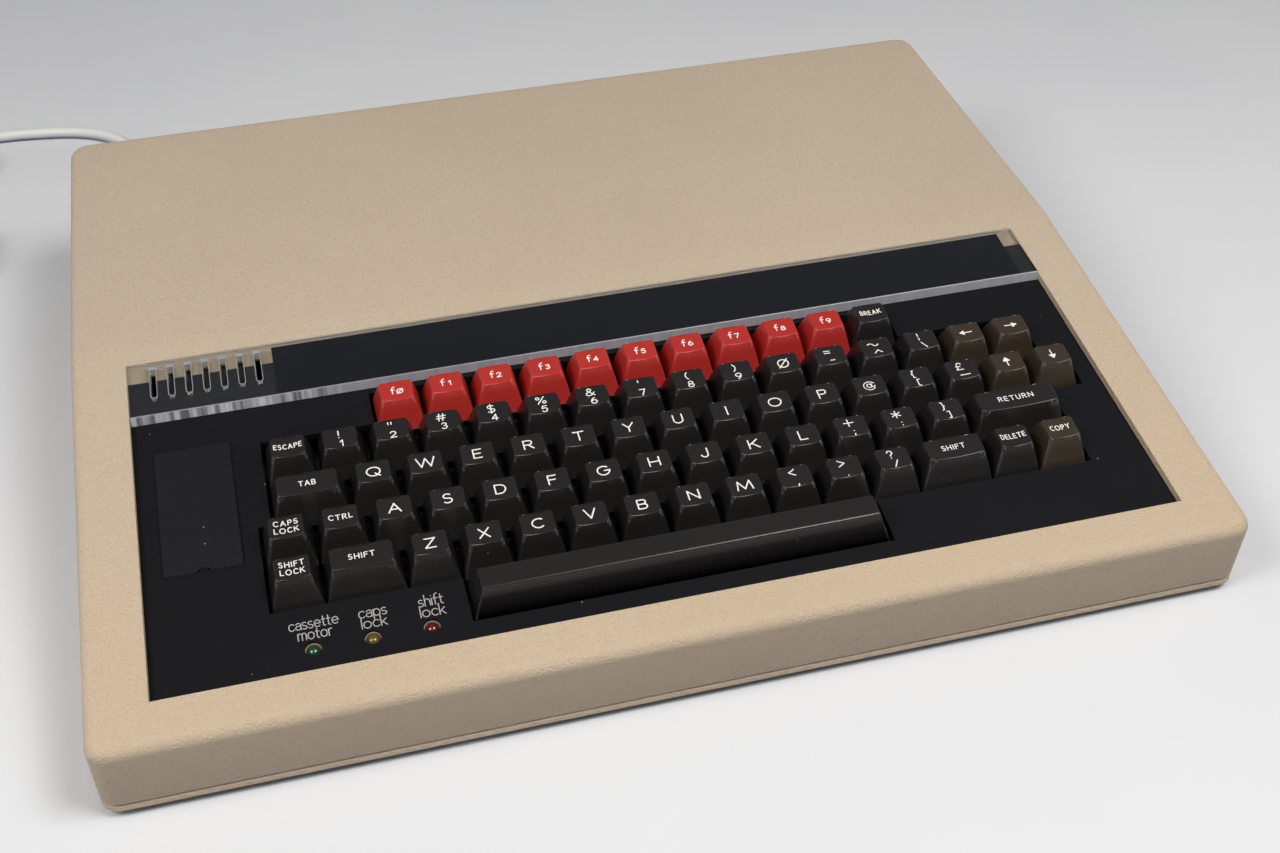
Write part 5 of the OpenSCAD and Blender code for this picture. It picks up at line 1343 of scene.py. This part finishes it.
# %% Chip legs
BOARD_LEFT, BOARD_FRONT, BOARD_W, BOARD_D, BOARD_TOP = -122.0, -88.0, 318.0, 246.0, 13.6
LEG_PITCH, LEG_W, LEG_T, LEG_H = 2.54, 0.5, 0.3, 2.2
small_chip, wide_chip, long_chip = (7, 20), (14, 36), (14, 52)
# First place and pitch as shares of the board's size, how many, and the size of each
chip_rows = [
    (0.05, 0.05, 0.041, 8, small_chip), (0.05, 0.155, 0.041, 8, small_chip),
    (0.63, 0.05, 0.066, 5, wide_chip), (0.472, 0.05, 0.063, 2, long_chip),
    (0.05, 0.382, 0.066, 7, small_chip), (0.566, 0.39, 0.0755, 2, long_chip),
    (0.755, 0.39, 0.069, 3, small_chip), (0.05, 0.504, 0.066, 7, small_chip),
    (0.755, 0.504, 0.069, 3, small_chip), (0.05, 0.626, 0.066, 7, small_chip),
    (0.566, 0.642, 0.069, 5, wide_chip),
]
legs = bmesh.new()
for share_x, share_y, step, count, (width, length) in chip_rows:
    for i in range(count):
        x = BOARD_LEFT + (share_x + i * step) * BOARD_W
        y = BOARD_FRONT + share_y * BOARD_D + length / 2
        ways = int(length / LEG_PITCH)
        for k in range(ways):
            leg_y = y + (k - (ways - 1) / 2) * LEG_PITCH
            for edge in (x - LEG_T, x + width):
                low = (edge, leg_y - LEG_W / 2, BOARD_TOP)
                box(legs, low, (edge + LEG_T, leg_y + LEG_W / 2, BOARD_TOP + LEG_H))
settle(mesh_object("chip_legs", legs, socket_metal), "case", "socket_metal")
print("chip rows", len(chip_rows))

# %% [markdown]
# ## Lead, strain relief and plug
#
# The lead was laid first. Here it gets its white plastic, and the pieces on it
# get theirs: the ribbed strain relief, the tie round the coil, and the plug with its
# three pins.

# %% Finishes on the lead
mains_lead.data.materials.append(cord_white)
relief = dressed("cord_grommet", cord_white, 0.15)
plug = dressed("mains_plug", plug_white, 0.8, segments=3)
plug_blades = dressed("plug_pins", plug_brass, 0.4)
tie = dressed("coil_tie", switch_black, 0.25)
print("lead pieces", [o.name for o in (relief, plug, plug_blades, tie)])

# %% [markdown]
# ## Floor and light
#
# The machine stands on a plain pale floor, which is dark blue grey only for the soft
# light that it throws back up. Two soft lamps in front, one above to the right and a
# weaker one to the left, light the tops and leave the front wall darker. A low glow of
# the world at both sides, and a faint one in front, gives the key rims and the side
# walls something to mirror. The levels are set so that a colour renders about as it is
# written.

# %% Floor
floor_mesh = bmesh.new()
bmesh.ops.create_grid(floor_mesh, x_segments=8, y_segments=8, size=6.0)
bmesh.ops.translate(floor_mesh, verts=floor_mesh.verts, vec=(0, 0, -0.0002))
floor_paint, tree, paint = new_material("floor_paint", {"Roughness": 0.9})
mottle = grade(tree, noise(tree, 6.0, 3.0), 0.3, 0.7)
pale = mixed(tree, mottle, srgb(232, 233, 235), srgb(228, 229, 232))
seen = add_node(tree, "LightPath", {})
in_view = calc(tree, "MAXIMUM", seen["Is Camera Ray"], seen["Is Glossy Ray"])
in_view = calc(tree, "MAXIMUM", in_view, seen["Is Transmission Ray"])
set_inputs(tree, paint, {"Base Color": mixed(tree, in_view, srgb(56, 70, 108), pale)})
# From below, the floor is left out, so that the underside can be looked at
from_below = add_node(tree, "NewGeometry", {})["Backfacing"]
show_either(tree, from_below, paint.outputs[0], add_node(tree, "BsdfTransparent", {})[0])
floor = mesh_object("floor", floor_mesh, floor_paint)
if floor.data.polygons[0].normal.z < 0:
    floor.data.flip_normals()


# %% Lamps
LAMP_SIZE, LAMP_TINT = 0.5, (1.0, 0.985, 0.965)
WORLD_LEVEL, SIDE_GLOW, FRONT_GLOW, BACKDROP = 0.16, 1.6, 0.15, 0.82


def soft_lamp(name, place, power):
    """A square area lamp at a place in metres, turned towards the middle of the machine."""
    data = bpy.data.lights.new(name, "AREA")
    data.shape, data.size, data.energy, data.color = "SQUARE", LAMP_SIZE, power, LAMP_TINT
    lamp = bpy.data.objects.new(name, data)
    lamp.location = place
    lamp.rotation_euler = (-Vector(place)).to_track_quat("-Z", "Y").to_euler()
    scene.collection.objects.link(lamp)
    return lamp


key_lamp = soft_lamp("key_lamp", (0.42, -0.5, 1.06), 9.0)
fill_lamp = soft_lamp("fill_lamp", (-0.75, -0.42, 0.92), 6.5)
world = bpy.data.worlds.new("studio")
world.use_nodes = True
scene.world = world
sky = world.node_tree
towards = add_node(sky, "TexCoord", {})["Generated"]
split = add_node(sky, "SeparateXYZ", {0: towards})
low = grade(sky, split["Z"], 0.24, 0.08)
sideways = grade(sky, calc(sky, "ABSOLUTE", split["X"], 0.0), 0.35, 0.55)
forward = grade(sky, split["Y"], -0.4, -0.8, 0.0, FRONT_GLOW)
glow = calc(sky, "ADD", calc(sky, "MULTIPLY", sideways, SIDE_GLOW), forward)
level = calc(sky, "ADD", calc(sky, "MULTIPLY", low, glow), WORLD_LEVEL)
# Seen directly, the world is a plain pale backdrop; on the object it is soft light
looked_at = add_node(sky, "LightPath", {})["Is Camera Ray"]
strength = add_node(sky, "Mix", {"Factor": looked_at, "A": level, "B": BACKDROP})["Result"]
set_inputs(sky, sky.nodes["Background"], {"Color": (0.97, 0.98, 1.0, 1.0), "Strength": strength})
print("lamps", key_lamp.data.energy, fill_lamp.data.energy, "world", WORLD_LEVEL, SIDE_GLOW)
